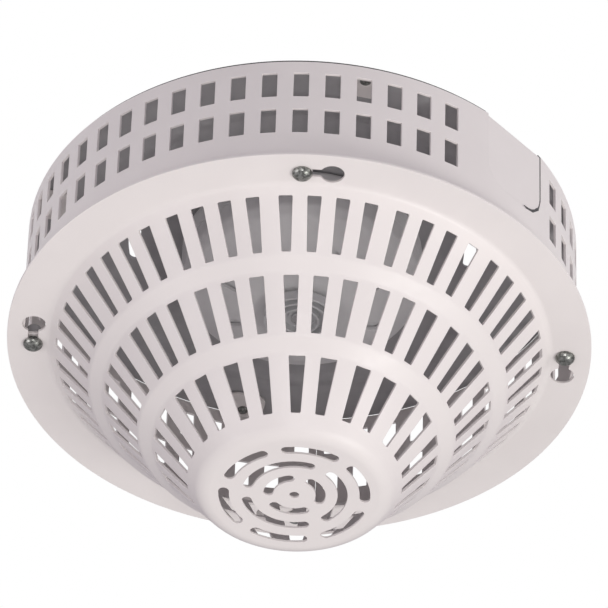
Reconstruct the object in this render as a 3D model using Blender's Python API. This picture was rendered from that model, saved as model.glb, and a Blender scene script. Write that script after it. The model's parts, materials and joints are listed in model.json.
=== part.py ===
"""Ceiling heat detector inside a vented steel guard.

Metres, +Z up. The origin is the centre of the ceiling face, so the whole object
hangs below z = 0. A bearing is an angle round Z measured from -Y towards +X, and
a depth is a distance below the ceiling.
"""

import math

import bmesh
import bpy
from mathutils import Matrix, Vector
from mathutils.geometry import delaunay_2d_cdt

MM = 0.001
GAP = 0.3
TINY = 1e-6
SAME_SPOT = 1e-5
MERGE = 1e-3
OVERCUT = 1.0

# Guard, in millimetres and degrees.
SHEET = 1.2
GUARD_DEPTH = 57.2
FLANGE_RADIUS = 120.0
FLANGE_BEND = ((105.0, 57.2), (103.1, 57.65), (101.6, 58.87))
NOSE_DEPTH = 133.6
NOSE_FLAT = 34.0
PLATE_THICKNESS = 1.2
RING_RADIUS = 114.1
RING_TOP = PLATE_THICKNESS + GAP
RING_FOOT = GUARD_DEPTH - SHEET - GAP

# Two rows of windows round the ring, with a plain stretch at the conduit tab.
WINDOW_COUNT = 56
WINDOW_BEARING = -0.75
WINDOW_WIDTH = 6.2
WINDOW_HEIGHT = 12.7
WINDOW_DEPTHS = (14.0, 33.4)
PLAIN_WINDOWS = (6, 7, 8, 9)

# Conduit knock-out: a flat tab in a U-shaped notch of the ring.
TAB_BEARING = 49.2
TAB_WIDTH = 33.0
TAB_TOP = 2.6
TAB_BOTTOM = 36.8
TAB_CORNER = 11.0
TAB_TILT = 1.5
TAB_GAP = 0.5

# Dome slots in three tiers: radius and width at the outer and the inner end.
SECTORS = 13
SECTOR_BEARING = 6.3
TIERS = (
    {"slots": 4, "pitch": 6.665, "outer": (99.9, 5.7), "inner": (86.1, 3.7)},
    {"slots": 3, "pitch": 8.76, "outer": (78.9, 6.2), "inner": (64.9, 4.1)},
    {"slots": 2, "pitch": 12.87, "outer": (57.6, 6.8), "inner": (43.6, 3.9)},
)
SHOULDERS = ((85.0, 79.7), (79.9, 83.5), (63.9, 103.7), (58.5, 107.7))
NOSE_BEND = ((40.3, 130.5), (37.6, 132.8))

# Arc slots in the flat nose: middle radius, width, half angle, count and bearing.
NOSE_ARCS = (
    (28.5, 4.3, 20.0, 6, 13.0),
    (19.5, 4.0, 45.5, 3, -27.1),
    (10.6, 4.0, 36.0, 3, -46.8),
)
NOSE_HOLE = 2.0

# Cover fixings: four screws in keyholes, a quarter turn apart.
SCREW_COUNT = 4
SCREW_CIRCLE = 109.3
SCREW_SHANK = 1.75
SCREW_HOLE = SCREW_SHANK + 0.5
SCREW_HEAD = 4.1
SCREW_HEAD_HEIGHT = 3.0
KEYHOLE_TURN = 6.3
KEYHOLE_SLOT = 4.2
KEYHOLE_WIDE = 4.85
KEYHOLE_JOIN = 2.0
LUG_WIDTH = 8.4
LUG_REACH = 8.0
NUT_RADIUS = 2.9
NUT_HEIGHT = 5.0

# Ears that hold the ring to the back plate.
EAR_BEARING = 13.0
EAR_WIDTH = 17.0
EAR_TIP = 98.0
EAR_SCREW_CIRCLE = 108.0
EAR_SCREW_HEAD = 2.3
EAR_SCREW_HEIGHT = 1.2
EAR_DROP = 0.3

# Slots for the screws of an electrical box, each with a raised flat land round it.
BOX_CIRCLE = 70.0
BOX_SLOT = 5.0
BOX_SLOT_HALF = 6.0
BOX_LAND = 5.0
LAND_RISE = 0.3
LAND_SLOPE = 1.0

# Detector base and head.
BASE_RADIUS = 50.0
BASE_WALL = 2.5
BASE_OPENING = 26.0
BASE_COLLAR = 1.5
BASE_COLLAR_DROP = 2.0
BASE_DEPTH = 13.0
BASE_SCREW_CIRCLE = 38.0
CABLE_ENTRY = (0.0, 16.0)
CABLE_ENTRY_RADIUS = 8.0
GROMMET_WALL = 2.5
GROMMET_LIP = 1.5
GROMMET_DROP = 2.0
TERMINAL_COUNT = 4
TERMINAL_BEARING = 45.0
TERMINAL_CIRCLE = 38.0
TERMINAL_WIDTH = 9.0
TERMINAL_SHEET = 1.0
TERMINAL_SCREW = (3.0, 1.8)
BASE_SCREW = (3.4, 2.0)
BLADE_CIRCLE = 31.5
BLADE_WIDTH = 7.0
HEAD_TOP = BASE_DEPTH + GAP
CARRIER_BOTTOM = HEAD_TOP + 2.0
CARRIER_RIDGE = CARRIER_BOTTOM + 6.0
CARRIER_OPENING = 6.0
RIDGE_INNER = 37.0
RIDGE_OUTER = 40.0
SHELL_WALL = 1.8
SHELL_BOTTOM = 36.0
SHELL_OPENING = 9.0
SHELL_VENTS = 8
VENT_INNER = 27.0
VENT_OUTER = 36.0
VENT_WIDTH = 5.0

# Trip mechanism: the collector drops, and the contact arm follows it.
PLUNGER_RADIUS = 2.0
PLUNGER_TOP = 16.9
BUSH_TOP = 30.3
COLLECTOR_TOP = SHELL_BOTTOM + 0.7
COLLECTOR_RADIUS = 15.0
COLLECTOR_BOTTOM = 42.0
SPRING_RADIUS = 4.4
SPRING_WIRE = 0.4
SPRING_TURNS = 4
ARM_PIVOT = 28.0
ARM_DEPTH = 16.4
ARM_WIDTH = 5.0
BUTTON_REACH = 10.0
BUTTON_TOP = 18.6

# Steps round a circle. HOLE is odd, so that no corner meets an edge of a turned piece.
FINE = 104
ROUND = 52
INNER = 40
SMALL = 16
HOLE = 17


def material(name, colour, roughness, metallic):
    made = bpy.data.materials.new(name)
    made.use_nodes = True
    shader = made.node_tree.nodes["Principled BSDF"]
    shader.inputs["Base Color"].default_value = (*colour, 1.0)
    shader.inputs["Roughness"].default_value = roughness
    shader.inputs["Metallic"].default_value = metallic
    made.diffuse_color = (*colour, 1.0)
    return made


def polar(radius, bearing):
    """Plan position in millimetres of a point at a radius and a bearing."""
    angle = math.radians(bearing)
    return Vector((radius * math.sin(angle), -radius * math.cos(angle)))


def arc(radius, first, last, steps):
    return [polar(radius, first + (last - first) * i / steps) for i in range(steps + 1)]


def circle(radius, steps, centre=(0.0, 0.0)):
    return [Vector(centre) + polar(radius, 360.0 * i / steps) for i in range(steps)]


def inside(point, loop):
    """Whether a flat point lies inside a closed loop."""
    crossings = 0
    for a, b in zip(loop, loop[1:] + loop[:1]):
        if (a[1] > point[1]) != (b[1] > point[1]):
            where = a[0] + (point[1] - a[1]) * (b[0] - a[0]) / (b[1] - a[1])
            crossings += where > point[0]
    return crossings % 2 == 1


def flat_pattern(outline, holes, creases=(), points=()):
    """Triangles of a flat pattern with holes: its points and its faces."""
    spots = list(points)
    edges = []
    for loop in (outline, *holes, *creases):
        start = len(spots)
        spots += loop
        edges += [(start + i, start + (i + 1) % len(loop)) for i in range(len(loop))]
    spots, _, faces, *_ = delaunay_2d_cdt(spots, edges, [], 0, SAME_SPOT)
    kept = []
    for face in faces:
        middle = sum((spots[i] for i in face), Vector((0.0, 0.0))) / len(face)
        if inside(middle, outline) and not any(inside(middle, hole) for hole in holes):
            kept.append(face)
    return spots, kept


def finish(bm, name, look, parent=None):
    """Turns a bmesh in millimetres into an object in metres."""
    bmesh.ops.recalc_face_normals(bm, faces=bm.faces)
    bmesh.ops.scale(bm, vec=(MM, MM, MM), verts=bm.verts)
    mesh = bpy.data.meshes.new(name)
    bm.to_mesh(mesh)
    bm.free()
    mesh.materials.append(look)
    made = bpy.data.objects.new(name, mesh)
    bpy.context.scene.collection.objects.link(made)
    if parent:
        made.parent = parent
        made.matrix_parent_inverse = parent.matrix_world.inverted()
    return made


def bent_sheet(name, pattern, front, back, look):
    """A closed sheet: one flat pattern laid on a front surface and on a back surface."""
    spots, faces = pattern
    bm = bmesh.new()
    flat = bm.verts.layers.float_vector.new("flat")
    verts = []
    for spot in spots:
        vert = bm.verts.new(front(spot))
        vert[flat] = (spot[0], spot[1], 0.0)
        verts.append(vert)
    for face in faces:
        bm.faces.new([verts[i] for i in face])
    bmesh.ops.delete(bm, geom=[v for v in bm.verts if not v.link_faces], context="VERTS")
    bmesh.ops.remove_doubles(bm, verts=bm.verts, dist=MERGE)
    grown = bmesh.ops.extrude_face_region(bm, geom=bm.faces[:], use_keep_orig=True)
    for item in grown["geom"]:
        if isinstance(item, bmesh.types.BMVert):
            item.co = back(item[flat].xy)
    return finish(bm, name, look)


def turned(name, profile, steps, look, centre=(0.0, 0.0), parent=None):
    """A closed profile of (radius, depth) points turned round a vertical axis."""
    bm = bmesh.new()
    verts = [bm.verts.new((r + centre[0], centre[1], -depth)) for r, depth in profile]
    edges = [bm.edges.new(pair) for pair in zip(verts, verts[1:] + verts[:1])]
    bmesh.ops.spin(
        bm, geom=verts + edges, cent=(*centre, 0.0), axis=(0.0, 0.0, 1.0),
        angle=math.tau, steps=steps, use_merge=True,
    )
    bmesh.ops.remove_doubles(bm, verts=bm.verts, dist=MERGE)
    bmesh.ops.dissolve_degenerate(bm, edges=bm.edges, dist=MERGE)
    made = finish(bm, name, look, parent)
    made.data.shade_smooth()
    made.data.set_sharp_from_angle(angle=math.radians(35))
    return made


def plate(name, outline, top, bottom, look, parent=None):
    """A flat outline, in plan, between two depths."""
    bm = bmesh.new()
    face = bm.faces.new([bm.verts.new((*point, -bottom)) for point in outline])
    grown = bmesh.ops.extrude_face_region(bm, geom=[face], use_keep_orig=True)
    raised = [v for v in grown["geom"] if isinstance(v, bmesh.types.BMVert)]
    bmesh.ops.translate(bm, verts=raised, vec=(0.0, 0.0, bottom - top))
    return finish(bm, name, look, parent)


def change(target, tool, operation):
    """Joins a tool to its target or cuts it away, and leaves the tool out of the model."""
    tool.hide_render = True
    tool.display_type = "WIRE"
    step = target.modifiers.new(tool.name, "BOOLEAN")
    step.operation = operation
    step.solver = "EXACT"
    step.object = tool


def drill(target, centre, radius, top, bottom):
    name = f"{target.name}_drill_{len(target.modifiers)}"
    tool = plate(name, circle(radius, HOLE, centre), top, bottom, target.data.materials[0])
    change(target, tool, "DIFFERENCE")


def rotated(outline, bearing):
    """A plan outline drawn towards -Y, turned to a bearing."""
    turn = Matrix.Rotation(math.radians(bearing), 2)
    return [turn @ Vector(point) for point in outline]


def box_outline(inner, outer, width):
    """A rectangle in plan that reaches from one radius to another, towards -Y."""
    half = width / 2
    return [(-half, -outer), (half, -outer), (half, -inner), (-half, -inner)]


def joint_axis(name, x=0.0, y=0.0, depth=0.0):
    """An empty on a joint's axis. The pieces that move with it are its children."""
    empty = bpy.data.objects.new(name, None)
    empty.empty_display_size = 0.01
    empty.location = (x * MM, y * MM, -depth * MM)
    bpy.context.scene.collection.objects.link(empty)
    bpy.context.view_layer.update()
    return empty


# Guard ------------------------------------------------------------------


def cover_profile():
    """(radius, depth) of the cover's outer face, from its rim to its centre."""
    return [
        (FLANGE_RADIUS, GUARD_DEPTH), *FLANGE_BEND, *SHOULDERS, *NOSE_BEND,
        (NOSE_FLAT, NOSE_DEPTH), (0.0, NOSE_DEPTH),
    ]


def offset_profile(profile, thickness):
    """The same profile moved to the sheet's inner face, mitred at each bend."""
    normals = []
    for (r0, d0), (r1, d1) in zip(profile, profile[1:]):
        along = Vector((r1 - r0, d1 - d0)).normalized()
        normals.append(Vector((-along.y, along.x)))
    moved = []
    for i, (r, d) in enumerate(profile):
        first = normals[max(i - 1, 0)]
        second = normals[min(i, len(normals) - 1)]
        step = (first + second) * thickness / (1.0 + first.dot(second))
        moved.append((r + step.x, d + step.y))
    return moved


def on_profile(spot, profile, inner):
    """Where a plan point of the outer face lies on another, matching profile."""
    radius = Vector(spot).length
    for (r0, _), (r1, _), (q0, e0), (q1, e1) in zip(profile, profile[1:], inner, inner[1:]):
        if radius >= r1 - TINY:
            share = (r0 - radius) / (r0 - r1)
            r, depth = q0 + (q1 - q0) * share, e0 + (e1 - e0) * share
            break
    x, y = Vector(spot).normalized() * r if radius > TINY else (0.0, 0.0)
    return (x, y, -depth)


def tier_slots(tier):
    """The tapered slots of one tier of the dome."""
    outer, outer_width = tier["outer"]
    inner, inner_width = tier["inner"]
    slots = []
    for sector in range(SECTORS):
        for slot in range(tier["slots"]):
            bearing = SECTOR_BEARING + sector * 360.0 / SECTORS
            bearing += (slot - (tier["slots"] - 1) / 2) * tier["pitch"]
            ends = [
                (-outer_width / 2, -outer), (outer_width / 2, -outer),
                (inner_width / 2, -inner), (-inner_width / 2, -inner),
            ]
            slots.append(rotated(ends, bearing))
    return slots


def arc_slot(radius, width, half_angle, bearing):
    """A slot along an arc, with round ends."""
    steps = max(3, round(half_angle / 8))
    first, last = bearing - half_angle, bearing + half_angle
    outline = arc(radius + width / 2, first, last, steps)
    outline += [polar(radius, last) + polar(width / 2, last + 180 - t) for t in (135, 90, 45)]
    outline += arc(radius - width / 2, last, first, steps)
    outline += [polar(radius, first) + polar(width / 2, first - t) for t in (135, 90, 45)]
    return outline


def keyhole(bearing):
    """A round hole that a screw head passes, with a narrow slot back to the screw."""
    wide = bearing + KEYHOLE_TURN
    narrow_end = wide - KEYHOLE_JOIN
    half = KEYHOLE_SLOT / 2
    meet = math.degrees(math.asin(half / KEYHOLE_WIDE))
    centre = polar(SCREW_CIRCLE, wide)
    turns = [meet - 90 + (360 - 2 * meet) * i / 14 for i in range(15)]
    outline = arc(SCREW_CIRCLE + half, bearing, narrow_end, 2)[:-1]
    outline += [centre + polar(KEYHOLE_WIDE, wide + turn) for turn in turns]
    outline += arc(SCREW_CIRCLE - half, narrow_end, bearing, 2)[1:]
    outline += [polar(SCREW_CIRCLE, bearing) + polar(half, bearing - t) for t in (135, 90, 45)]
    return outline


def guard_cover(look, parent):
    profile = cover_profile()
    inner = offset_profile(profile, SHEET)
    holes = [slot for tier in TIERS for slot in tier_slots(tier)]
    for radius, width, half_angle, count, bearing in NOSE_ARCS:
        for i in range(count):
            holes.append(arc_slot(radius, width, half_angle, bearing + i * 360.0 / count))
    holes.append(circle(NOSE_HOLE, 12))
    holes += [keyhole(i * 360.0 / SCREW_COUNT) for i in range(SCREW_COUNT)]
    creases = [circle(r, ROUND) for r, _ in profile[1:-1]]
    pattern = flat_pattern(circle(FLANGE_RADIUS, FINE), holes, creases)
    made = bent_sheet(
        "guard_cover", pattern,
        lambda spot: on_profile(spot, profile, profile),
        lambda spot: on_profile(spot, profile, inner), look,
    )
    made.parent = parent
    return made


def tab_outline(width, top, bottom, corner):
    """Outline of the knock-out as (distance along, depth): square at the top."""
    half = width / 2
    outline = [(-half, top), (half, top)]
    for side, angles in ((1, (0, 30, 60, 90)), (-1, (90, 60, 30, 0))):
        for angle in angles:
            turn = math.radians(angle)
            across = side * (half - corner + corner * math.cos(turn))
            outline.append((across, bottom - corner + corner * math.sin(turn)))
    return outline


def ring_wall(look):
    """The rolled ring, cut from a flat strip, with its ears and lugs bent inward."""
    step = 360.0 / WINDOW_COUNT
    half = math.degrees(WINDOW_WIDTH / 2 / RING_RADIUS)
    first = -WINDOW_COUNT // 2
    bearings = [WINDOW_BEARING + step * i for i in range(first, first + WINDOW_COUNT)]
    start, end = bearings[0] - step / 2, bearings[-1] + step / 2
    sides = [bearing + side * half for bearing in bearings for side in (-1, 1)]
    rows = [(d - WINDOW_HEIGHT / 2, d + WINDOW_HEIGHT / 2) for d in WINDOW_DEPTHS]
    windows = []
    for i, bearing in enumerate(bearings):
        if i + first in PLAIN_WINDOWS:
            continue
        for top, bottom in rows:
            left, right = bearing - half, bearing + half
            windows.append([(left, top), (right, top), (right, bottom), (left, bottom)])
    degrees_per_mm = math.degrees(1 / RING_RADIUS)
    notch = tab_outline(
        TAB_WIDTH + 2 * TAB_GAP, RING_TOP, TAB_BOTTOM + TAB_GAP, TAB_CORNER + TAB_GAP
    )
    notch = [(TAB_BEARING + across * degrees_per_mm, depth) for across, depth in notch]
    edge = [(start, RING_TOP)]
    edge += [(side, RING_TOP) for side in sides if side < notch[0][0]]
    edge += [notch[0], *notch[:1:-1], notch[1]]
    edge += [(side, RING_TOP) for side in sides if side > notch[1][0]]
    edge += [(end, RING_TOP), (end, RING_FOOT)]
    edge += [(side, RING_FOOT) for side in reversed(sides)]
    edge += [(start, RING_FOOT)]
    grid = [(side, depth) for side in sides for row in rows for depth in row]
    grid = [spot for spot in grid if not inside(spot, notch)]

    def wall(radius):
        return lambda spot: (*polar(radius, spot[0]), -spot[1])

    pattern = flat_pattern(
        [Vector(p) for p in edge], [[Vector(p) for p in w] for w in windows],
        points=[Vector(p) for p in grid],
    )
    ring = bent_sheet("ring_wall", pattern, wall(RING_RADIUS), wall(RING_RADIUS - SHEET), look)
    middle = RING_RADIUS - SHEET / 2
    lug_top = RING_FOOT - SHEET - GAP
    ear_top = RING_TOP + EAR_DROP
    for i in range(SCREW_COUNT):
        bearing = i * 360.0 / SCREW_COUNT
        outline = rotated(box_outline(middle - LUG_REACH, middle, LUG_WIDTH), bearing)
        lug = plate(f"lug_{i + 1}", outline, lug_top, lug_top + SHEET, look)
        change(ring, lug, "UNION")
        outline = rotated(ear_outline(middle), bearing + EAR_BEARING)
        ear = plate(f"ear_{i + 1}", outline, ear_top, ear_top + SHEET, look)
        change(ring, ear, "UNION")
    for i in range(SCREW_COUNT):
        bearing = i * 360.0 / SCREW_COUNT
        lug_hole = polar(SCREW_CIRCLE, bearing)
        drill(ring, lug_hole, SCREW_HOLE, lug_top - OVERCUT, lug_top + SHEET + OVERCUT)
        ear_hole = polar(EAR_SCREW_CIRCLE, bearing + EAR_BEARING)
        drill(ring, ear_hole, SCREW_HOLE, ear_top - OVERCUT, ear_top + SHEET + OVERCUT)
    return ring


def ear_outline(outer):
    """A tab towards -Y with rounded inner corners."""
    half = EAR_WIDTH / 2
    corner = half * 0.6
    outline = [(-half, -outer), (half, -outer)]
    for side, angles in ((1, (0, 30, 60, 90)), (-1, (90, 60, 30, 0))):
        for angle in angles:
            turn = math.radians(angle)
            across = side * (half - corner + corner * math.cos(turn))
            outline.append((across, -(EAR_TIP + corner - corner * math.sin(turn))))
    return outline


def conduit_knockout(look):
    """The flat tab in the ring's notch. It isn't rolled with the ring."""
    chord = math.sqrt(RING_RADIUS**2 - (TAB_WIDTH / 2) ** 2)
    outline = tab_outline(TAB_WIDTH, TAB_TOP, TAB_BOTTOM, TAB_CORNER)
    bm = bmesh.new()
    face = bm.faces.new([bm.verts.new((across, 0.0, -depth)) for across, depth in outline])
    grown = bmesh.ops.extrude_face_region(bm, geom=[face], use_keep_orig=True)
    raised = [v for v in grown["geom"] if isinstance(v, bmesh.types.BMVert)]
    bmesh.ops.translate(bm, verts=raised, vec=(0.0, SHEET, 0.0))
    tilt = Matrix.Rotation(math.radians(-TAB_TILT), 4, "Z")
    place = Matrix.Translation((0.0, -chord, 0.0))
    turn = Matrix.Rotation(math.radians(TAB_BEARING), 4, "Z")
    bmesh.ops.transform(bm, matrix=turn @ place @ tilt, verts=bm.verts)
    return finish(bm, "conduit_knockout", look)


def back_plate(look):
    """The disc against the ceiling, cut straight above the conduit knock-out."""
    cut = math.degrees(math.asin(TAB_WIDTH / 2 / RING_RADIUS))
    rim = arc(RING_RADIUS, TAB_BEARING + cut, TAB_BEARING + 360 - cut, FINE)
    holes = [circle(CABLE_ENTRY_RADIUS, SMALL, CABLE_ENTRY)]
    for i in range(SCREW_COUNT):
        at = polar(EAR_SCREW_CIRCLE, EAR_BEARING + i * 360.0 / SCREW_COUNT)
        holes.append(circle(SCREW_HOLE, SMALL, at))
    for side in (-1, 1):
        holes.append(circle(SCREW_HOLE, SMALL, (side * BASE_SCREW_CIRCLE, 0.0)))
    creases, lands = [], []
    for bearing in (90.0, 270.0):
        holes.append(arc_slot(BOX_CIRCLE, BOX_SLOT, BOX_SLOT_HALF, bearing))
        flat, middle, foot = (
            arc_slot(BOX_CIRCLE, BOX_SLOT + 2 * (BOX_LAND + way), BOX_SLOT_HALF, bearing)
            for way in (0.0, LAND_SLOPE / 2, LAND_SLOPE)
        )
        creases += [flat, foot]
        lands.append(middle)

    def lower_side(spot):
        raised = any(inside(spot, land) for land in lands)
        return (*spot, -PLATE_THICKNESS - (LAND_RISE if raised else 0.0))

    pattern = flat_pattern(rim, holes, creases)
    return bent_sheet("back_plate", pattern, lambda spot: (*spot, 0.0), lower_side, look)


def round_head_screw(name, centre, seat, tip, head, height, look, parent=None):
    """A screw with a domed head below its seat and a shank up to its tip."""
    dome = []
    for i in range(3):
        turn = math.radians(20 + 30 * i)
        dome.append((head * math.cos(turn), seat + height * math.sin(turn)))
    profile = [(0.0, tip), (SCREW_SHANK, tip), (SCREW_SHANK, seat), (head, seat)]
    profile += [*dome, (0.0, seat + height)]
    return turned(name, profile, SMALL, look, centre, parent)


def clinch_nut(name, centre, look):
    """The threaded insert on a lug, which a cover screw runs into."""
    bottom = RING_FOOT - SHEET - 2 * GAP
    bore = SCREW_SHANK + GAP
    profile = [
        (bore, bottom - NUT_HEIGHT), (NUT_RADIUS, bottom - NUT_HEIGHT),
        (NUT_RADIUS, bottom), (bore, bottom),
    ]
    return turned(name, profile, SMALL, look, centre)


# Detector base ----------------------------------------------------------


def detector_base(look):
    top = PLATE_THICKNESS + GAP
    floor = top + BASE_WALL
    inner = BASE_RADIUS - BASE_WALL
    profile = [
        (BASE_OPENING, top), (BASE_RADIUS, top), (BASE_RADIUS, BASE_DEPTH),
        (inner, BASE_DEPTH), (inner, floor), (BASE_OPENING + BASE_COLLAR, floor),
        (BASE_OPENING + BASE_COLLAR, floor + BASE_COLLAR_DROP),
        (BASE_OPENING, floor + BASE_COLLAR_DROP),
    ]
    base = turned("detector_base", profile, INNER, look)
    spots = [(side * BASE_SCREW_CIRCLE, 0.0) for side in (-1, 1)]
    spots += [polar(TERMINAL_CIRCLE, bearing) for bearing in terminal_bearings()]
    for spot in spots:
        drill(base, spot, SCREW_HOLE, top - OVERCUT, floor + OVERCUT)
    return base


def terminal_bearings():
    return [TERMINAL_BEARING + i * 360.0 / TERMINAL_COUNT for i in range(TERMINAL_COUNT)]


def base_terminal(name, bearing, look):
    """A clamp plate on the base's floor with a jaw that a contact blade slides behind."""
    floor = PLATE_THICKNESS + GAP + BASE_WALL + GAP
    inner = BLADE_CIRCLE + 1.2
    foot = rotated(box_outline(inner, TERMINAL_CIRCLE + 5.0, TERMINAL_WIDTH), bearing)
    jaw = rotated(box_outline(inner + 0.2, inner + 1.0, TERMINAL_WIDTH - 1.0), bearing)
    made = plate(name, foot, floor, floor + TERMINAL_SHEET, look)
    upright = plate(f"{name}_jaw", jaw, floor + 0.4, BASE_DEPTH - 2.0, look)
    change(made, upright, "UNION")
    spot = polar(TERMINAL_CIRCLE, bearing)
    drill(made, spot, SCREW_HOLE, floor - OVERCUT, floor + TERMINAL_SHEET + OVERCUT)
    return made


def cable_grommet(look):
    hole = CABLE_ENTRY_RADIUS - GAP
    bore = hole - GROMMET_WALL
    rim = hole + GROMMET_LIP
    lip = PLATE_THICKNESS + GAP
    foot = lip + GROMMET_DROP
    profile = [(bore, GAP), (hole, GAP), (hole, lip), (rim, lip), (rim, foot), (bore, foot)]
    return turned("cable_grommet", profile, SMALL, look, CABLE_ENTRY)


# Detector head ----------------------------------------------------------


def head_carrier(look, parent):
    """The disc that closes the head's top, with a ridge that the diaphragm sits on."""
    rim = BASE_RADIUS - SHELL_WALL - 2 * GAP
    profile = [
        (CARRIER_OPENING, HEAD_TOP), (rim, HEAD_TOP), (rim, CARRIER_BOTTOM),
        (RIDGE_OUTER, CARRIER_BOTTOM), (RIDGE_OUTER, CARRIER_RIDGE),
        (RIDGE_INNER, CARRIER_RIDGE), (RIDGE_INNER, CARRIER_BOTTOM),
        (CARRIER_OPENING, CARRIER_BOTTOM),
    ]
    carrier = turned("head_carrier", profile, INNER, look, parent=parent)
    near, far = ARM_PIVOT - 2.0, ARM_PIVOT + 1.5
    boss = [(near, -4.0), (far, -4.0), (far, 4.0), (near, 4.0)]
    seat = plate("carrier_boss", boss, HEAD_TOP + 1.0, ARM_DEPTH - 0.5, look, parent)
    change(carrier, seat, "UNION")
    return carrier


def head_shell(look, parent):
    """The outer cap of the head, with a ring of vents round the heat collector."""
    inner_radius = BASE_RADIUS - SHELL_WALL
    profile = [
        (BASE_RADIUS, HEAD_TOP), (BASE_RADIUS, 21.0), (47.5, 25.5), (38.0, 31.0),
        (26.0, 35.0), (19.0, SHELL_BOTTOM), (SHELL_OPENING, SHELL_BOTTOM),
        (SHELL_OPENING, SHELL_BOTTOM - SHELL_WALL), (19.0, SHELL_BOTTOM - SHELL_WALL),
        (25.5, 33.2), (37.3, 29.3), (46.0, 24.3), (inner_radius, 20.5), (inner_radius, HEAD_TOP),
    ]
    shell = turned("head_shell", profile, INNER, look, parent=parent)
    for i in range(SHELL_VENTS):
        bearing = (i + 0.5) * 360.0 / SHELL_VENTS
        outline = rotated(box_outline(VENT_INNER, VENT_OUTER, VENT_WIDTH), bearing)
        top = SHELL_BOTTOM - 10.0
        vent = plate(f"shell_vent_{i + 1}", outline, top, SHELL_BOTTOM + OVERCUT, look, parent)
        change(shell, vent, "DIFFERENCE")
    return shell


def contact_blade(name, bearing, look, parent):
    """A blade that stands up from the carrier and wipes its terminal as the head turns."""
    outline = rotated(box_outline(BLADE_CIRCLE - 0.4, BLADE_CIRCLE + 0.4, BLADE_WIDTH), bearing)
    return plate(name, outline, BASE_DEPTH - 6.0, HEAD_TOP - GAP, look, parent)


def diaphragm(look, parent):
    """A thin corrugated disc that closes the air chamber below the carrier."""
    top = CARRIER_RIDGE + GAP
    outer, inner, waves = 39.5, 2.6, 4
    upper = []
    for i in range(2 * waves + 1):
        radius = outer + (inner - outer) * i / (2 * waves)
        upper.append((radius, top + 0.7 * (i % 2)))
    lower = [(radius, depth + 0.5) for radius, depth in reversed(upper)]
    return turned("diaphragm", upper + lower, INNER, look, parent=parent)


def diaphragm_clamp(look, parent):
    top = CARRIER_RIDGE + 2 * GAP + 1.2
    profile = [(37.2, top), (40.0, top), (40.0, top + 1.6), (37.2, top + 1.6)]
    return turned("diaphragm_clamp", profile, INNER, look, parent=parent)


def guide_bush(look, parent):
    """The bush that guides the plunger and seats the spring in the shell's opening."""
    bore = PLUNGER_RADIUS + 0.5
    flange = SHELL_BOTTOM - SHELL_WALL - GAP
    profile = [
        (bore, BUSH_TOP), (8.6, BUSH_TOP), (8.6, flange - 1.0), (10.5, flange - 1.0),
        (10.5, flange), (8.6, flange), (8.6, SHELL_BOTTOM), (6.2, SHELL_BOTTOM),
        (6.2, BUSH_TOP + 1.0), (bore, BUSH_TOP + 1.0),
    ]
    return turned("guide_bush", profile, SMALL, look, parent=parent)


def fixed_contact(look, parent):
    """A bracket below the arm, hung from the carrier beside it."""
    left, right = BUTTON_REACH - 3.0, BUTTON_REACH + 3.0
    shelf = [(left, -3.0), (right, -3.0), (right, 12.0), (left, 12.0)]
    riser = [(left, 10.5), (right, 10.5), (right, 12.0), (left, 12.0)]
    made = plate("fixed_contact", shelf, BUTTON_TOP, BUTTON_TOP + 0.6, look, parent)
    post = plate("fixed_contact_riser", riser, CARRIER_BOTTOM + GAP, BUTTON_TOP + 0.4, look, parent)
    change(made, post, "UNION")
    return made


def moving_contact(look, parent):
    """The spring arm over the plunger's top. Its root is wider than its blade."""
    half = ARM_WIDTH / 2
    root = half + 1.5
    outline = [
        (-2.0, -half), (ARM_PIVOT - 4.0, -half), (ARM_PIVOT - 4.0, -root), (ARM_PIVOT + 3.0, -root),
        (ARM_PIVOT + 3.0, root), (ARM_PIVOT - 4.0, root), (ARM_PIVOT - 4.0, half), (-2.0, half),
    ]
    return plate("moving_contact", outline, ARM_DEPTH - 0.2, ARM_DEPTH + 0.2, look, parent)


def plunger(look, parent):
    head = COLLECTOR_TOP + 3.1
    profile = [
        (0.0, PLUNGER_TOP), (PLUNGER_RADIUS, PLUNGER_TOP), (PLUNGER_RADIUS, head),
        (3.8, head), (3.8, head + 1.2), (0.0, head + 1.2),
    ]
    return turned("plunger", profile, SMALL, look, parent=parent)


def plunger_clip(look, parent):
    bore = PLUNGER_RADIUS + GAP
    profile = [(bore, 25.5), (4.2, 25.5), (4.2, 26.3), (bore, 26.3)]
    return turned("plunger_clip", profile, SMALL, look, parent=parent)


def fusible_slug(look, parent):
    """The ring of low-melting alloy that holds the plunger up in its bush."""
    bore = PLUNGER_RADIUS + GAP
    top = BUSH_TOP + 1.0 + GAP
    profile = [(bore, top), (3.6, top), (3.6, top + 3.0), (bore, top + 3.0)]
    return turned("fusible_slug", profile, SMALL, look, parent=parent)


def heat_collector(look, parent):
    """A metal disc with ring-shaped fins below it."""
    web_top, web_bottom = COLLECTOR_TOP + 0.9, COLLECTOR_TOP + 1.9
    bore, boss = PLUNGER_RADIUS + GAP, COLLECTOR_TOP + 2.8
    rim = COLLECTOR_RADIUS
    profile = [
        (bore, COLLECTOR_TOP), (7.5, COLLECTOR_TOP), (7.5, web_top), (rim, web_top),
        (rim, COLLECTOR_BOTTOM),
    ]
    for fin in (rim - 1.0, rim - 4.5, rim - 8.0):
        profile += [(fin, COLLECTOR_BOTTOM), (fin, web_bottom)]
        if fin > 8.0:
            profile += [(fin - 2.5, web_bottom), (fin - 2.5, COLLECTOR_BOTTOM)]
    profile += [(5.0, web_bottom), (5.0, boss), (bore, boss)]
    return turned("heat_collector", profile, INNER, look, parent=parent)


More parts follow.
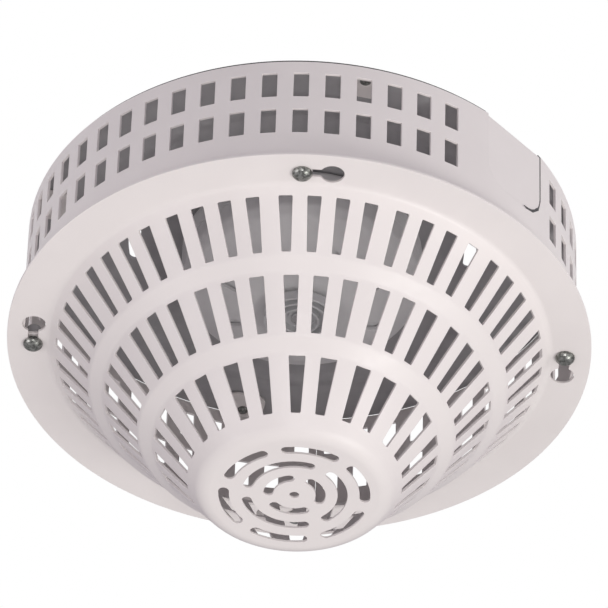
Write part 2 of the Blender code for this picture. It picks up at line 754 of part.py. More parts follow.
def plunger_spring(look, parent):
    """The coil that drives the collector down when the alloy lets go."""
    top = BUSH_TOP + 1.0 + GAP + SPRING_WIRE
    bottom = COLLECTOR_TOP - GAP - SPRING_WIRE
    steps = 12 * SPRING_TURNS
    curve = bpy.data.curves.new("plunger_spring", "CURVE")
    curve.dimensions = "3D"
    curve.bevel_depth = SPRING_WIRE * MM
    curve.bevel_resolution = 1
    curve.use_fill_caps = True
    line = curve.splines.new("POLY")
    line.points.add(steps)
    for i, point in enumerate(line.points):
        x, y = polar(SPRING_RADIUS, 360.0 * SPRING_TURNS * i / steps)
        depth = top + (bottom - top) * i / steps
        point.co = (x * MM, y * MM, -depth * MM, 1.0)
    curve.materials.append(look)
    made = bpy.data.objects.new("plunger_spring", curve)
    bpy.context.scene.collection.objects.link(made)
    made.parent = parent
    return made


# Assembly ---------------------------------------------------------------


def guard(looks):
    white, zinc, dark = looks["white"], looks["zinc"], looks["dark"]
    back_plate(zinc)
    ring_wall(white)
    conduit_knockout(white)
    guard_cover(white, joint_axis("cover_axis"))
    for i in range(SCREW_COUNT):
        bearing = i * 360.0 / SCREW_COUNT
        centre = polar(SCREW_CIRCLE, bearing)
        round_head_screw(
            f"cover_screw_{i + 1}", centre, GUARD_DEPTH + GAP, RING_FOOT - SHEET - NUT_HEIGHT,
            SCREW_HEAD, SCREW_HEAD_HEIGHT, dark, joint_axis(f"cover_screw_axis_{i + 1}", *centre),
        )
        clinch_nut(f"clinch_nut_{i + 1}", centre, zinc)
        round_head_screw(
            f"ear_screw_{i + 1}", polar(EAR_SCREW_CIRCLE, bearing + EAR_BEARING),
            RING_TOP + EAR_DROP + SHEET + GAP, GAP, EAR_SCREW_HEAD, EAR_SCREW_HEIGHT, dark,
        )


def base(looks):
    detector_base(looks["grey"])
    cable_grommet(looks["rubber"])
    floor = PLATE_THICKNESS + GAP + BASE_WALL
    for i, bearing in enumerate(terminal_bearings()):
        base_terminal(f"base_terminal_{i + 1}", bearing, looks["brass"])
        round_head_screw(
            f"terminal_screw_{i + 1}", polar(TERMINAL_CIRCLE, bearing),
            floor + 2 * GAP + TERMINAL_SHEET, PLATE_THICKNESS + 2 * GAP, *TERMINAL_SCREW,
            looks["steel"],
        )
    for i, side in enumerate((-1, 1)):
        round_head_screw(
            f"base_screw_{i + 1}", (side * BASE_SCREW_CIRCLE, 0.0), floor + GAP, GAP,
            *BASE_SCREW, looks["steel"],
        )


def head(looks):
    axis = joint_axis("head_axis")
    drop = joint_axis("collector_axis")
    drop.parent = axis
    pivot = joint_axis("contact_arm_axis", ARM_PIVOT, 0.0, ARM_DEPTH)
    pivot.parent = axis
    head_carrier(looks["grey"], axis)
    head_shell(looks["grey"], axis)
    for i, bearing in enumerate(terminal_bearings()):
        contact_blade(f"contact_blade_{i + 1}", bearing, looks["brass"], axis)
    diaphragm(looks["copper"], axis)
    diaphragm_clamp(looks["steel"], axis)
    guide_bush(looks["brass"], axis)
    fusible_slug(looks["alloy"], axis)
    fixed_contact(looks["brass"], axis)
    moving_contact(looks["copper"], pivot)
    plunger_spring(looks["steel"], axis)
    plunger(looks["steel"], drop)
    plunger_clip(looks["steel"], drop)
    heat_collector(looks["aluminium"], drop)


def build():
    for old in list(bpy.data.objects):
        bpy.data.objects.remove(old)
    looks = {
        "white": material("white_powder_coat", (0.80, 0.76, 0.76), 0.45, 0.0),
        "zinc": material("grey_zinc_plate", (0.35, 0.34, 0.35), 0.55, 0.3),
        "dark": material("dark_screw_steel", (0.10, 0.10, 0.10), 0.25, 0.9),
        "grey": material("grey_moulding", (0.33, 0.33, 0.34), 0.5, 0.0),
        "steel": material("bright_steel", (0.60, 0.60, 0.60), 0.3, 1.0),
        "brass": material("brass", (0.70, 0.52, 0.25), 0.35, 1.0),
        "copper": material("spring_copper", (0.72, 0.42, 0.28), 0.35, 1.0),
        "alloy": material("fusible_alloy", (0.50, 0.50, 0.52), 0.4, 1.0),
        "aluminium": material("bare_aluminium", (0.62, 0.62, 0.63), 0.4, 1.0),
        "rubber": material("black_rubber", (0.03, 0.03, 0.03), 0.8, 0.0),
    }
    guard(looks)
    base(looks)
    head(looks)


build()
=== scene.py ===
"""Looks of a ceiling heat detector in a vented steel guard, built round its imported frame.

Lengths below are in millimetres unless a name says otherwise. A bearing is an angle
round Z measured from -Y towards +X, and a depth is a distance below the ceiling.
"""

import json
import math

import bpy
import numpy as np
from mathutils import Matrix, Vector
from mathutils.geometry import delaunay_2d_cdt


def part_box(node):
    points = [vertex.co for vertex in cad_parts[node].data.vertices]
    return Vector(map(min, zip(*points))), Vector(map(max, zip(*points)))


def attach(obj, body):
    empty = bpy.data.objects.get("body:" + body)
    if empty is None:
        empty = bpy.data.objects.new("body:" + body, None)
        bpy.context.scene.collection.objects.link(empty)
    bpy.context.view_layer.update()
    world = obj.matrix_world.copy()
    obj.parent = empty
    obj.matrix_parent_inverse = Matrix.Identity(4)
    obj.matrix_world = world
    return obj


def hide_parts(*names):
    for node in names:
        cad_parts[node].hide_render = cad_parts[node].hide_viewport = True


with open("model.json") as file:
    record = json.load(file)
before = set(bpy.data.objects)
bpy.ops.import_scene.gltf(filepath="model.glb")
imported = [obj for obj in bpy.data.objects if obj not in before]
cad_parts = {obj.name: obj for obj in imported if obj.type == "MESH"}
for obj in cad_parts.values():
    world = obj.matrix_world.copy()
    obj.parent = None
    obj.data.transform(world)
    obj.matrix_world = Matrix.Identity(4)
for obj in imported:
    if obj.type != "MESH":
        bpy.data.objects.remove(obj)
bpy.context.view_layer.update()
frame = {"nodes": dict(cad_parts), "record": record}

MM = 0.001
GAP = 0.3
SKIM = 0.05
TINY = 1e-9
# Flat points closer than this are taken as one.
MERGE = 1e-6
QUARTER_TURN = math.pi / 2
HOLE_STEPS = 24

# Sizes read from the frame ----------------------------------------------


def radius_of(node):
    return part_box(node)[1].y / MM


def top_of(node):
    """Depth of a node's highest point."""
    return -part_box(node)[1].z / MM


def foot_of(node):
    """Depth of a node's lowest point."""
    return -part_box(node)[0].z / MM


def span_of(node):
    return top_of(node), foot_of(node)


def middle_of(node):
    low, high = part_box(node)
    return (low + high) / 2 / MM


FLANGE_RADIUS = radius_of("guard_cover")
NOSE_DEPTH = foot_of("guard_cover")
RING_RADIUS = radius_of("ring_wall")
RING_TOP = top_of("ring_wall")
RING_FOOT = foot_of("ring_wall")
PLATE_DEPTH = foot_of("back_plate")
PLATE_THICKNESS = 1.2
SCREW_CIRCLE = -middle_of("cover_screw_1").y
EAR_SCREW_CIRCLE = middle_of("ear_screw_1").xy.length
BASE_RADIUS = radius_of("detector_base")
BASE_TOP = top_of("detector_base")
BASE_FOOT = foot_of("detector_base")
HEAD_TOP = top_of("head_shell")
SHELL_FOOT = foot_of("head_shell")

# Guard ------------------------------------------------------------------

SHEET = 1.2
EDGE = 0.18
GUARD_DEPTH = RING_FOOT + SHEET + GAP
DOME_CORNERS = (
    (102.96, GUARD_DEPTH), (85.0, 79.7), (79.9, 83.5), (63.9, 103.7), (58.5, 107.7),
    (37.8, NOSE_DEPTH),
)
DOME_BENDS = (3.2, 6.0, 6.0, 6.0, 6.0, 8.5)
FLANGE_STEPS = 260
BEND_STEPS = 208

SECTORS = 13
SECTOR_BEARING = 6.3
SLOT_CORNER = 0.4
# Each slot's ends are given as (radius, width).
TIERS = (
    {"slots": 4, "pitch": 6.665, "outer": (99.9, 5.7), "inner": (86.1, 3.7)},
    {"slots": 3, "pitch": 8.76, "outer": (78.9, 6.2), "inner": (64.9, 4.1)},
    {"slots": 2, "pitch": 12.87, "outer": (57.6, 6.8), "inner": (43.6, 3.9)},
)
# Radius, width, half angle, count and first bearing.
NOSE_ARCS = (
    (28.5, 4.3, 20.0, 6, 13.0),
    (19.5, 4.0, 45.5, 3, -27.1),
    (10.6, 4.0, 36.0, 3, -46.8),
)
NOSE_HOLE = 2.0

SCREW_COUNT = 4
SCREW_STEP = 360.0 / SCREW_COUNT
SCREW_HEAD = 4.1
SCREW_HEAD_HEIGHT = 3.0
SCREW_SHANK = 1.75
SCREW_HOLE = 2.25
KEYHOLE_TURN = 6.3
KEYHOLE_SLOT = 4.2
KEYHOLE_WIDE = 4.85

WINDOW_COUNT = 56
WINDOW_BEARING = -0.75
WINDOW_WIDTH = 6.2
WINDOW_HEIGHT = 12.7
WINDOW_CORNER = 0.3
WINDOW_DEPTHS = (14.0, 33.4)
PLAIN_WINDOWS = (6, 7, 8, 9)
# Depths of extra points between the rows of windows, which keep the wall round.
PLAIN_DEPTHS = (5.6, 23.7, 43.0, 47.0)

TAB_BEARING = 49.2
TAB_WIDTH = 33.0
TAB_TOP = 2.6
TAB_BOTTOM = 36.8
TAB_CORNER = 11.0
TAB_TILT = 0.5
TAB_GAP_LEFT = 0.06
TAB_GAP = 1.1
TAB_NOTCH = 108.9
# Painted shade: a dark strip sunk in the knock-out's gap stands for the shadow there.
GAP_SHADE_LAP = 0.3
GAP_SHADE_SUNK = 0.12
GAP_SHADE_THICKNESS = 0.4
PLATE_RADIUS = 113.1
NOTCH_GAP = 0.5
NOTCH_LIP = 0.5

EAR_BEARING = 13.0
EAR_WIDTH = 17.0
EAR_TIP = 98.0
EAR_TOP = RING_TOP + GAP
EAR_LEG = 3.0
EAR_CORNERS = (1.5, 1.5, 5.0, 5.0)
# Radius and height of a screw's head.
EAR_SCREW = (2.3, 1.2)
LUG_WIDTH = 8.4
LUG_TIP = 105.5
LUG_ROOT = 1.2
LUG_CORNER = 1.5
LUG_FOOT = RING_FOOT - GAP
BEND = 2.0
RELIEF = 0.6
RELIEF_CORNER = 0.28
STRIP_CORNER = 0.4
SEAM = 0.24

# Geometry helpers -------------------------------------------------------


def polar(radius, bearing):
    angle = np.radians(bearing)
    return np.stack([radius * np.sin(angle), -radius * np.cos(angle)], axis=-1)


def spin(bearing):
    """Turns flat spots that are drawn towards -Y to a bearing."""
    turn = math.radians(bearing)
    return np.array([(math.cos(turn), math.sin(turn)), (-math.sin(turn), math.cos(turn))])


def rounded(corners, radii, grow=0.0, steps=3, closed=True, pitch=None):
    """An outline with round corners, moved outward by grow: its points and outward normals.

    A long straight run gets points at most one pitch apart, the same for every grow.
    """
    corners = np.array(corners, float)
    radii = np.broadcast_to(np.array(radii, float), len(corners)).copy()
    x, y = corners[:, 0], corners[:, 1]
    if (x * np.roll(y, -1) - y * np.roll(x, -1)).sum() < 0:
        corners, radii = corners[::-1], radii[::-1]
    points, normals, owner = [], [], []
    count = len(corners)
    for i, here in enumerate(corners):
        ahead = corners[(i + 1) % count] - here
        behind = here - corners[i - 1]
        end = not closed and i in (0, count - 1)
        if end:
            ahead = behind = ahead if i == 0 else behind
        first, second = (
            np.array((d[1], -d[0])) / np.hypot(*d) for d in (behind, ahead)
        )
        start = math.atan2(first[1], first[0])
        turn = math.atan2(first[0] * second[1] - first[1] * second[0], first @ second)
        side = 1.0 if turn >= 0 else -1.0
        centre = here - side * radii[i] * (first + second) / (1 + first @ second)
        for k in range(1 if end else steps + 1):
            angle = start + turn * k / steps
            out = np.array((math.cos(angle), math.sin(angle)))
            points.append(here if end else centre + (side * radii[i] + grow) * out)
            normals.append(out)
            owner.append(i)
    if pitch is not None:
        points, normals = with_fillers(points, normals, owner, corners, closed, pitch)
    return np.array(points), np.array(normals)


def with_fillers(points, normals, owner, corners, closed, pitch):
    """The outline's points and normals with more of them along its straight runs."""
    filled, filled_normals = [], []
    for i, point in enumerate(points):
        follower = (i + 1) % len(points)
        filled.append(point)
        filled_normals.append(normals[i])
        if owner[i] == owner[follower] or (not closed and follower == 0):
            continue
        length = np.hypot(*(corners[owner[follower]] - corners[owner[i]]))
        extra = int(length // pitch)
        for k in range(1, extra + 1):
            share = k / (extra + 1)
            filled.append(point + (points[follower] - point) * share)
            filled_normals.append(normals[i])
    return filled, filled_normals


def ring_of(radius, steps, centre=(0.0, 0.0)):
    """A circle as an outline function of how far it is moved outward."""
    return lambda grow: polar(radius + grow, 360.0 * np.arange(steps) / steps) + np.array(centre)


def inside(spots, loop):
    """Which of the flat spots lie inside a closed loop."""
    found = np.zeros(len(spots), bool)
    x, y = spots[:, 0], spots[:, 1]
    for (ax, ay), (bx, by) in zip(loop, np.roll(loop, -1, axis=0)):
        if ay == by:
            continue
        found ^= ((ay > y) != (by > y)) & (x < ax + (y - ay) * (bx - ax) / (by - ay))
    return found


def inside_near(spots, loop):
    """The same for a small loop among many spots."""
    near = (spots >= loop.min(axis=0)).all(axis=1) & (spots <= loop.max(axis=0)).all(axis=1)
    found = np.zeros(len(spots), bool)
    found[near] = inside(spots[near], loop)
    return found


def mesh_piece(name, points, normals, faces, slot, body, *replaced):
    """A shaded mesh from points in millimetres and their normals, with its slot's look.

    Faces are turned to face out.
    """
    points, normals = np.array(points, float), np.array(normals, float)
    fixed = []
    for face in faces:
        a, b, c = points[face[0]], points[face[1]], points[face[2]]
        facing = np.cross(b - a, c - a) @ normals[list(face)].sum(axis=0)
        fixed.append(tuple(face) if facing >= 0 else tuple(reversed(face)))
    mesh = bpy.data.meshes.new(name)
    mesh.from_pydata((points * MM).tolist(), [], fixed)
    mesh.polygons.foreach_set("use_smooth", [True] * len(mesh.polygons))
    lengths = np.linalg.norm(normals, axis=1, keepdims=True)
    mesh.normals_split_custom_set_from_vertices((normals / np.maximum(lengths, TINY)).tolist())
    mesh.materials.append(LOOKS[slot])
    made = bpy.data.objects.new(name, mesh)
    bpy.context.scene.collection.objects.link(made)
    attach(made, body)
    if replaced:
        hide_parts(*replaced)


def flat_mesh(loops, rings, spots):
    """Triangles inside the first loop and outside the others.

    Gives their points, the faces, and the indices of each loop's points. The faces also
    follow the rings and use the spots.
    """
    edges, places = [], []
    start = 0
    for loop in (*loops, *rings):
        count = len(loop)
        places.append(range(start, start + count))
        edges += [(start + i, start + (i + 1) % count) for i in range(count)]
        start += count
    flat = np.concatenate([*loops, *rings, np.array(spots, float).reshape(-1, 2)])
    out, _, faces, origins, *_ = delaunay_2d_cdt(
        [Vector(p) for p in flat.tolist()], edges, [], 0, MERGE
    )
    out = np.array([tuple(p) for p in out])
    where = {source: i for i, sources in enumerate(origins) for source in sources}
    middles = np.array([out[list(face)].mean(axis=0) for face in faces])
    keep = inside(middles, loops[0])
    for loop in loops[1:]:
        keep &= ~inside_near(middles, loop)
    faces = [face for face, kept in zip(faces, keep) if kept]
    used = sorted({i for face in faces for i in face})
    index = {old: new for new, old in enumerate(used)}
    faces = [tuple(index[i] for i in face) for face in faces]
    rims = [np.array([index[where[i]] for i in place]) for place in places[:len(loops)]]
    return out[used], faces, rims


def edge_rows(base, up, reach, thickness, edge, steps):
    """Rows of points and normals round a sheet's edge, from its front to its back."""
    rows = []
    for side in (1, -1):
        turns = range(1, steps + 1) if side > 0 else range(steps, 0, -1)
        for k in turns:
            angle = QUARTER_TURN * k / steps
            drop = edge * (1 - math.cos(angle))
            level = drop if side > 0 else thickness - drop
            place = base + reach * edge * math.sin(angle) - up * level
            rows.append((place, side * up * math.cos(angle) + reach * math.sin(angle)))
    return rows


def sheet_mesh(outline, holes, surface, thickness, edge=EDGE, rings=(), spots=(), steps=2):
    """A closed sheet with rounded edges: points, normals and faces.

    The outline and the holes are functions of how far they are moved outward. The surface
    function lays flat spots on the outer face and gives its normals there.
    """
    loops = [outline(-edge)] + [hole(edge) for hole in holes]
    flat, faces, rims = flat_mesh(loops, rings, spots)
    front, normal = surface(flat)
    size = len(flat)
    points = [front, front - normal * thickness]
    normals = [normal, -normal]
    faces += [tuple(i + size for i in face) for face in faces]
    total = 2 * size
    for shape, rim in zip((outline, *holes), rims):
        base, up = front[rim], normal[rim]
        reach = surface(shape(0.0))[0] - base
        reach -= up * (reach * up).sum(axis=1, keepdims=True)
        reach /= np.linalg.norm(reach, axis=1, keepdims=True)
        chain = [rim]
        for place, out in edge_rows(base, up, reach, thickness, edge, steps):
            points.append(place)
            normals.append(out)
            chain.append(np.arange(total, total + len(rim)))
            total += len(rim)
        chain.append(rim + size)
        for near, far in zip(chain, chain[1:]):
            near_next, far_next = np.roll(near, -1), np.roll(far, -1)
            faces += list(zip(near, near_next, far_next, far))
    return np.concatenate(points), np.concatenate(normals), faces


def lathe_mesh(corners, radii, steps, centre=(0.0, 0.0), closed=True, turns=3):
    """A profile of (radius, depth) corners turned round a vertical axis."""
    profile = np.array([(r, -depth) for r, depth in corners], float)
    path, out = rounded(profile, radii, closed=closed, steps=turns)
    points, normals, faces, rows = [], [], [], []
    bearings = 360.0 * np.arange(steps) / steps
    for (radius, z), (across, up) in zip(path, out):
        first = len(points)
        if radius < MERGE:
            points.append((centre[0], centre[1], z))
            normals.append((0.0, 0.0, math.copysign(1.0, up)))
            rows.append([first] * steps)
            continue
        for (x, y), (nx, ny) in zip(polar(radius, bearings), polar(across, bearings)):
            points.append((x + centre[0], y + centre[1], z))
            normals.append((nx, ny, up))
        rows.append(list(range(first, first + steps)))
    pairs = list(zip(rows, rows[1:] + rows[:1]))
    for near, far in pairs if closed else pairs[:-1]:
        for i in range(steps):
            j = (i + 1) % steps
            face = list(dict.fromkeys((near[i], near[j], far[j], far[i])))
            if len(face) > 2:
                faces.append(tuple(face))
    return np.array(points), np.array(normals), faces


# Materials --------------------------------------------------------------

# Painted shade on the plate's rim, for the shadowed line along the ring's top edge: where the zinc
# darkens, as distances inside the plate's rim, and how dark it gets.
RIM_SHADE_BAND = (0.4, 0.1)
RIM_SHADE_LEVEL = 0.22


class Look:
    """A node material whose details are in object coordinates, so their scale is real."""

    def __init__(self, name, roughness, metallic=0.0):
        self.material = bpy.data.materials.new(name)
        self.material.use_nodes = True
        self.tree = self.material.node_tree
        self.shader = self.tree.nodes["Principled BSDF"]
        self.shader.inputs["Roughness"].default_value = roughness
        self.shader.inputs["Metallic"].default_value = metallic
        self.place = self.tree.nodes.new("ShaderNodeTexCoord").outputs["Object"]
        self.bump = None

    def node(self, kind, settings=(), **inputs):
        made = self.tree.nodes.new(kind)
        for key, value in dict(settings).items():
            setattr(made, key, value)
        for key, value in inputs.items():
            socket = made.inputs[key.replace("_", " ")]
            if isinstance(value, bpy.types.NodeSocket):
                self.tree.links.new(value, socket)
            else:
                socket.default_value = value
        return made

    def stretched(self, scale):
        """Object coordinates scaled along each axis."""
        return self.node("ShaderNodeMapping", Vector=self.place, Scale=scale).outputs["Vector"]

    def noise(self, wavelength, detail=2.0, place=None):
        made = self.node(
            "ShaderNodeTexNoise", Vector=place or self.place, Scale=1 / (wavelength * MM),
            Detail=detail,
        )
        return made.outputs["Fac"]

    def ramp(self, value, *stops):
        """A colour or grey ramp with (position, colour) stops."""
        made = self.node("ShaderNodeValToRGB", Fac=value)
        ramp = made.color_ramp
        while len(ramp.elements) < len(stops):
            ramp.elements.new(0.5)
        for element, (position, colour) in zip(ramp.elements, stops):
            element.position = position
            grey = isinstance(colour, (int, float))
            element.color = (colour, colour, colour, 1.0) if grey else (*colour, 1.0)
        return made.outputs["Color"]

    def colour(self, value, *stops):
        self.tree.links.new(self.ramp(value, *stops), self.shader.inputs["Base Color"])

    def roughness(self, value, low, high):
        made = self.node(
            "ShaderNodeMapRange", Value=value, From_Min=0.3, From_Max=0.7,
            To_Min=low, To_Max=high,
        )
        self.tree.links.new(made.outputs["Result"], self.shader.inputs["Roughness"])

    def relief(self, value, height):
        """Adds a bump of that height in millimetres."""
        made = self.node("ShaderNodeBump", Height=value, Distance=height * MM, Strength=1.0)
        if self.bump:
            self.tree.links.new(self.bump, made.inputs["Normal"])
        self.bump = made.outputs["Normal"]
        self.tree.links.new(self.bump, self.shader.inputs["Normal"])


def powder_coat():
    look = Look("white_powder_coat", 0.42)
    look.colour(
        look.noise(38.0, 3.0), (0.35, (0.775, 0.727, 0.722)), (0.65, (0.800, 0.752, 0.746))
    )
    look.roughness(look.noise(2.4, 3.0), 0.36, 0.50)
    look.relief(look.noise(1.5, 2.0), 0.020)
    look.relief(look.noise(0.45, 2.0), 0.004)
    return look.material


def zinc_plate():
    """Dull zinc. Its rim is darkened as painted shade, for the shadowed line along the ring's top
    edge.
    """
    look = Look("grey_zinc_plate", 0.6, 0.0)
    look.shader.inputs["Specular IOR Level"].default_value = 0.15
    grain = look.ramp(
        look.noise(9.0, 5.0), (0.3, (0.38, 0.37, 0.385)), (0.7, (0.44, 0.43, 0.445))
    )
    radius = look.node(
        "ShaderNodeVectorMath", {"operation": "LENGTH"}, Vector=look.stretched((1.0, 1.0, 0.0))
    )
    # Painted shade: the zinc darkens to a dark line at the plate's rim, and stays dark on anything
    # with this look beyond that radius, such as the knock-out strip.
    rim_shade = look.node(
        "ShaderNodeMapRange", Value=radius.outputs["Value"],
        From_Min=(PLATE_RADIUS - RIM_SHADE_BAND[0]) * MM, From_Max=(PLATE_RADIUS - RIM_SHADE_BAND[1]) * MM,
        To_Min=1.0, To_Max=RIM_SHADE_LEVEL,
    )
    cut = look.node(
        "ShaderNodeVectorMath", {"operation": "SCALE"}, Vector=grain, Scale=rim_shade.outputs["Result"]
    )
    look.tree.links.new(cut.outputs["Vector"], look.shader.inputs["Base Color"])
    look.roughness(look.noise(1.2, 3.0), 0.5, 0.7)
    look.relief(look.noise(0.6, 3.0), 0.006)
    return look.material


def dark_steel():
    look = Look("dark_screw_steel", 0.25, 0.95)
    look.colour(look.noise(1.3, 4.0), (0.38, (0.13, 0.135, 0.125)), (0.62, (0.36, 0.365, 0.35)))
    look.roughness(look.noise(0.5, 4.0), 0.26, 0.38)
    look.relief(look.noise(1.8, 2.0), 0.02)
    return look.material


def moulding():
    look = Look("grey_moulding", 0.5)
    look.colour(look.noise(14.0, 3.0), (0.3, (0.73, 0.72, 0.73)), (0.7, (0.79, 0.78, 0.79)))
    look.roughness(look.noise(0.8, 3.0), 0.45, 0.62)
    look.relief(look.noise(0.30, 2.0), 0.008)
    return look.material


def bright_steel():
    look = Look("bright_steel", 0.3, 1.0)
    look.colour(look.noise(2.0, 4.0), (0.3, (0.52, 0.52, 0.53)), (0.7, (0.64, 0.64, 0.64)))
    look.roughness(look.noise(0.6, 3.0), 0.24, 0.4)
    look.relief(look.noise(0.4, 2.0), 0.003)
    return look.material


def brass():
    look = Look("brass", 0.34, 1.0)
    look.colour(look.noise(3.0, 4.0), (0.3, (0.56, 0.40, 0.18)), (0.7, (0.72, 0.54, 0.27)))
    look.roughness(look.noise(0.7, 3.0), 0.28, 0.45)
    look.relief(look.noise(0.5, 3.0, look.stretched((1.0, 6.0, 1.0))), 0.004)
    return look.material


def spring_copper():
    look = Look("spring_copper", 0.34, 1.0)
    look.colour(look.noise(4.0, 4.0), (0.3, (0.58, 0.33, 0.22)), (0.7, (0.74, 0.44, 0.31)))
    look.roughness(look.noise(0.8, 3.0), 0.28, 0.42)
    look.relief(look.noise(0.5, 3.0, look.stretched((1.0, 5.0, 1.0))), 0.003)
    return look.material


def fusible_alloy():
    look = Look("fusible_alloy", 0.5, 1.0)
    look.colour(look.noise(1.2, 5.0), (0.3, (0.40, 0.40, 0.42)), (0.7, (0.54, 0.54, 0.56)))
    look.roughness(look.noise(0.5, 4.0), 0.4, 0.6)
    look.relief(look.noise(0.8, 4.0), 0.03)
    return look.material


def turned_aluminium():
    """Bare aluminium with fine rings from the lathe."""
    look = Look("bare_aluminium", 0.55, 0.35)
    look.colour(look.noise(5.0, 4.0), (0.3, (0.70, 0.70, 0.71)), (0.7, (0.78, 0.78, 0.79)))
    rings = look.node(
        "ShaderNodeTexWave", {"wave_type": "RINGS", "rings_direction": "Z"},
        Vector=look.place, Scale=700.0, Distortion=0.3, Detail=1.0,
    )
    look.relief(rings.outputs["Fac"], 0.004)
    look.roughness(look.noise(1.0, 3.0), 0.36, 0.5)
    return look.material


def rubber():
    look = Look("black_rubber", 0.8)
    look.colour(look.noise(2.0, 4.0), (0.3, (0.022, 0.022, 0.022)), (0.7, (0.04, 0.04, 0.04)))
    look.roughness(look.noise(0.6, 3.0), 0.7, 0.9)
    look.relief(look.noise(0.4, 3.0), 0.010)
    return look.material


LOOKS = {
    "white_powder_coat": powder_coat(),
    "grey_zinc_plate": zinc_plate(),
    "dark_screw_steel": dark_steel(),
    "grey_moulding": moulding(),
    "bright_steel": bright_steel(),
    "brass": brass(),
    "spring_copper": spring_copper(),
    "fusible_alloy": fusible_alloy(),
    "bare_aluminium": turned_aluminium(),
    "black_rubber": rubber(),
}

# Guard cover ------------------------------------------------------------


def dome_surface():
    """The cover's outer face as a function of plan position."""
    corners = [(FLANGE_RADIUS + 5, -GUARD_DEPTH)]
    corners += [(r, -depth) for r, depth in DOME_CORNERS]
    corners += [(0.0, -NOSE_DEPTH)]
    path, out = rounded(corners, (1.0, *DOME_BENDS, 1.0), steps=6, closed=False)
    order = np.argsort(path[:, 0])
    radii, heights, out = path[order, 0], path[order, 1], out[order]
    if out[-1, 1] > 0:
        out = -out

    def surface(spots):
        radius = np.linalg.norm(spots, axis=1)
        away = spots / np.maximum(radius, TINY)[:, None]
        height = np.interp(radius, radii, heights)
        across, up = (np.interp(radius, radii, out[:, k]) for k in (0, 1))
        size = np.hypot(across, up)
        normal = np.column_stack([away * (across / size)[:, None], up / size])
        return np.column_stack([spots, height]), normal

    return surface, radii[1:-1]


def tapered_slot(bearing, outer, inner, corner=SLOT_CORNER):
    """A slot that points at the centre, with a radius and a width at each end."""
    (outer_radius, outer_width), (inner_radius, inner_width) = outer, inner
    corners = np.array([
        (-outer_width / 2, -outer_radius), (outer_width / 2, -outer_radius),
        (inner_width / 2, -inner_radius), (-inner_width / 2, -inner_radius),
    ])
    corners = corners @ spin(bearing)
    return lambda grow: rounded(corners, corner, grow, steps=4, pitch=4.7)[0]


def arc_slot(radius, width, half_angle, bearing):
    """A slot along an arc, with round ends."""
    along = np.linspace(bearing - half_angle, bearing + half_angle, max(6, round(half_angle / 3)))
    ends = np.linspace(0.0, 180.0, 9)[1:-1]

    def outline(grow):
        half = width / 2 + grow
        last = polar(radius, along[-1]) + polar(half, along[-1] + ends)
        first = polar(radius, along[0]) + polar(half, along[0] + 180.0 + ends)
        return np.concatenate(
            [polar(radius + half, along), last, polar(radius - half, along[::-1]), first]
        )

    return outline


def keyhole(bearing):
    """A round hole that a screw head passes, with a narrow slot back to the screw."""
    wide = bearing + KEYHOLE_TURN
    along = np.linspace(bearing, wide - 2.4, 4)
    ends = np.linspace(0.0, 180.0, 9)[1:-1]

    def outline(grow):
        half, hole = KEYHOLE_SLOT / 2 + grow, KEYHOLE_WIDE + grow
        meet = math.degrees(math.asin(half / hole))
        turns = np.linspace(meet - 90.0, 270.0 - meet, 29)
        return np.concatenate([
            polar(SCREW_CIRCLE + half, along),
            polar(SCREW_CIRCLE, wide) + polar(hole, wide + turns),
            polar(SCREW_CIRCLE - half, along[::-1]),
            polar(SCREW_CIRCLE, bearing) + polar(half, bearing + 180.0 + ends),
        ])

    return outline


def guard_cover():
    surface, bends = dome_surface()
    holes = []
    for tier in TIERS:
        for sector in range(SECTORS):
            for slot in range(tier["slots"]):
                bearing = SECTOR_BEARING + sector * 360.0 / SECTORS
                bearing += (slot - (tier["slots"] - 1) / 2) * tier["pitch"]
                holes.append(tapered_slot(bearing, tier["outer"], tier["inner"]))
    for radius, width, half_angle, count, bearing in NOSE_ARCS:
        for i in range(count):
            holes.append(arc_slot(radius, width, half_angle, bearing + i * 360.0 / count))
    holes.append(ring_of(NOSE_HOLE, HOLE_STEPS))
    holes += [keyhole(i * SCREW_STEP) for i in range(SCREW_COUNT)]
    rings = [ring_of(radius, BEND_STEPS)(0.0) for radius in bends]
    made = sheet_mesh(ring_of(FLANGE_RADIUS, FLANGE_STEPS), holes, surface, SHEET, rings=rings)
    mesh_piece("pressed_cover", *made, "white_powder_coat", "cover", "guard_cover")


# Ring -------------------------------------------------------------------


def along_wall(bearing):
    """Distance round the ring's outer face to a bearing."""
    return math.radians(bearing) * RING_RADIUS


def wall_surface(spots):
    """Lays (distance round, depth) on the ring, and bends its lugs inward at the foot."""
    bearing = np.degrees(spots[:, 0] / RING_RADIUS)
    quarter = BEND * QUARTER_TURN
    offset = (bearing + SCREW_STEP / 2) % SCREW_STEP - SCREW_STEP / 2
    length = spots[:, 1] - (LUG_FOOT - BEND)
    bent = (np.abs(np.radians(offset)) * RING_RADIUS < LUG_WIDTH / 2 + SKIM) & (length > 0)
    lean = np.where(bent, np.clip(length / BEND, 0.0, QUARTER_TURN), 0.0)
    flat = np.where(bent, np.maximum(length - quarter, 0.0), 0.0)
    radius = RING_RADIUS - BEND * (1 - np.cos(lean)) - flat
    depth = np.where(bent, LUG_FOOT - BEND + BEND * np.sin(lean), spots[:, 1])
    out = polar(np.cos(lean), bearing)
    return np.column_stack([polar(radius, bearing), -depth]), np.column_stack([out, -np.sin(lean)])


def lug(centre):
    """Corners and corner radii of one lug, from right to left."""
    half = LUG_WIDTH / 2
    root = LUG_FOOT - BEND - LUG_ROOT
    tip = LUG_FOOT - BEND + BEND * QUARTER_TURN + RING_RADIUS - BEND - LUG_TIP
    left, right = centre - half, centre + half
    corners = [
        (right + RELIEF, RING_FOOT), (right + RELIEF, root), (right, root), (right, tip),
        (left, tip), (left, root), (left - RELIEF, root), (left - RELIEF, RING_FOOT),
    ]
    relief, corner = [RELIEF_CORNER] * 2, LUG_CORNER
    return corners, [STRIP_CORNER, *relief, corner, corner, *relief, STRIP_CORNER]


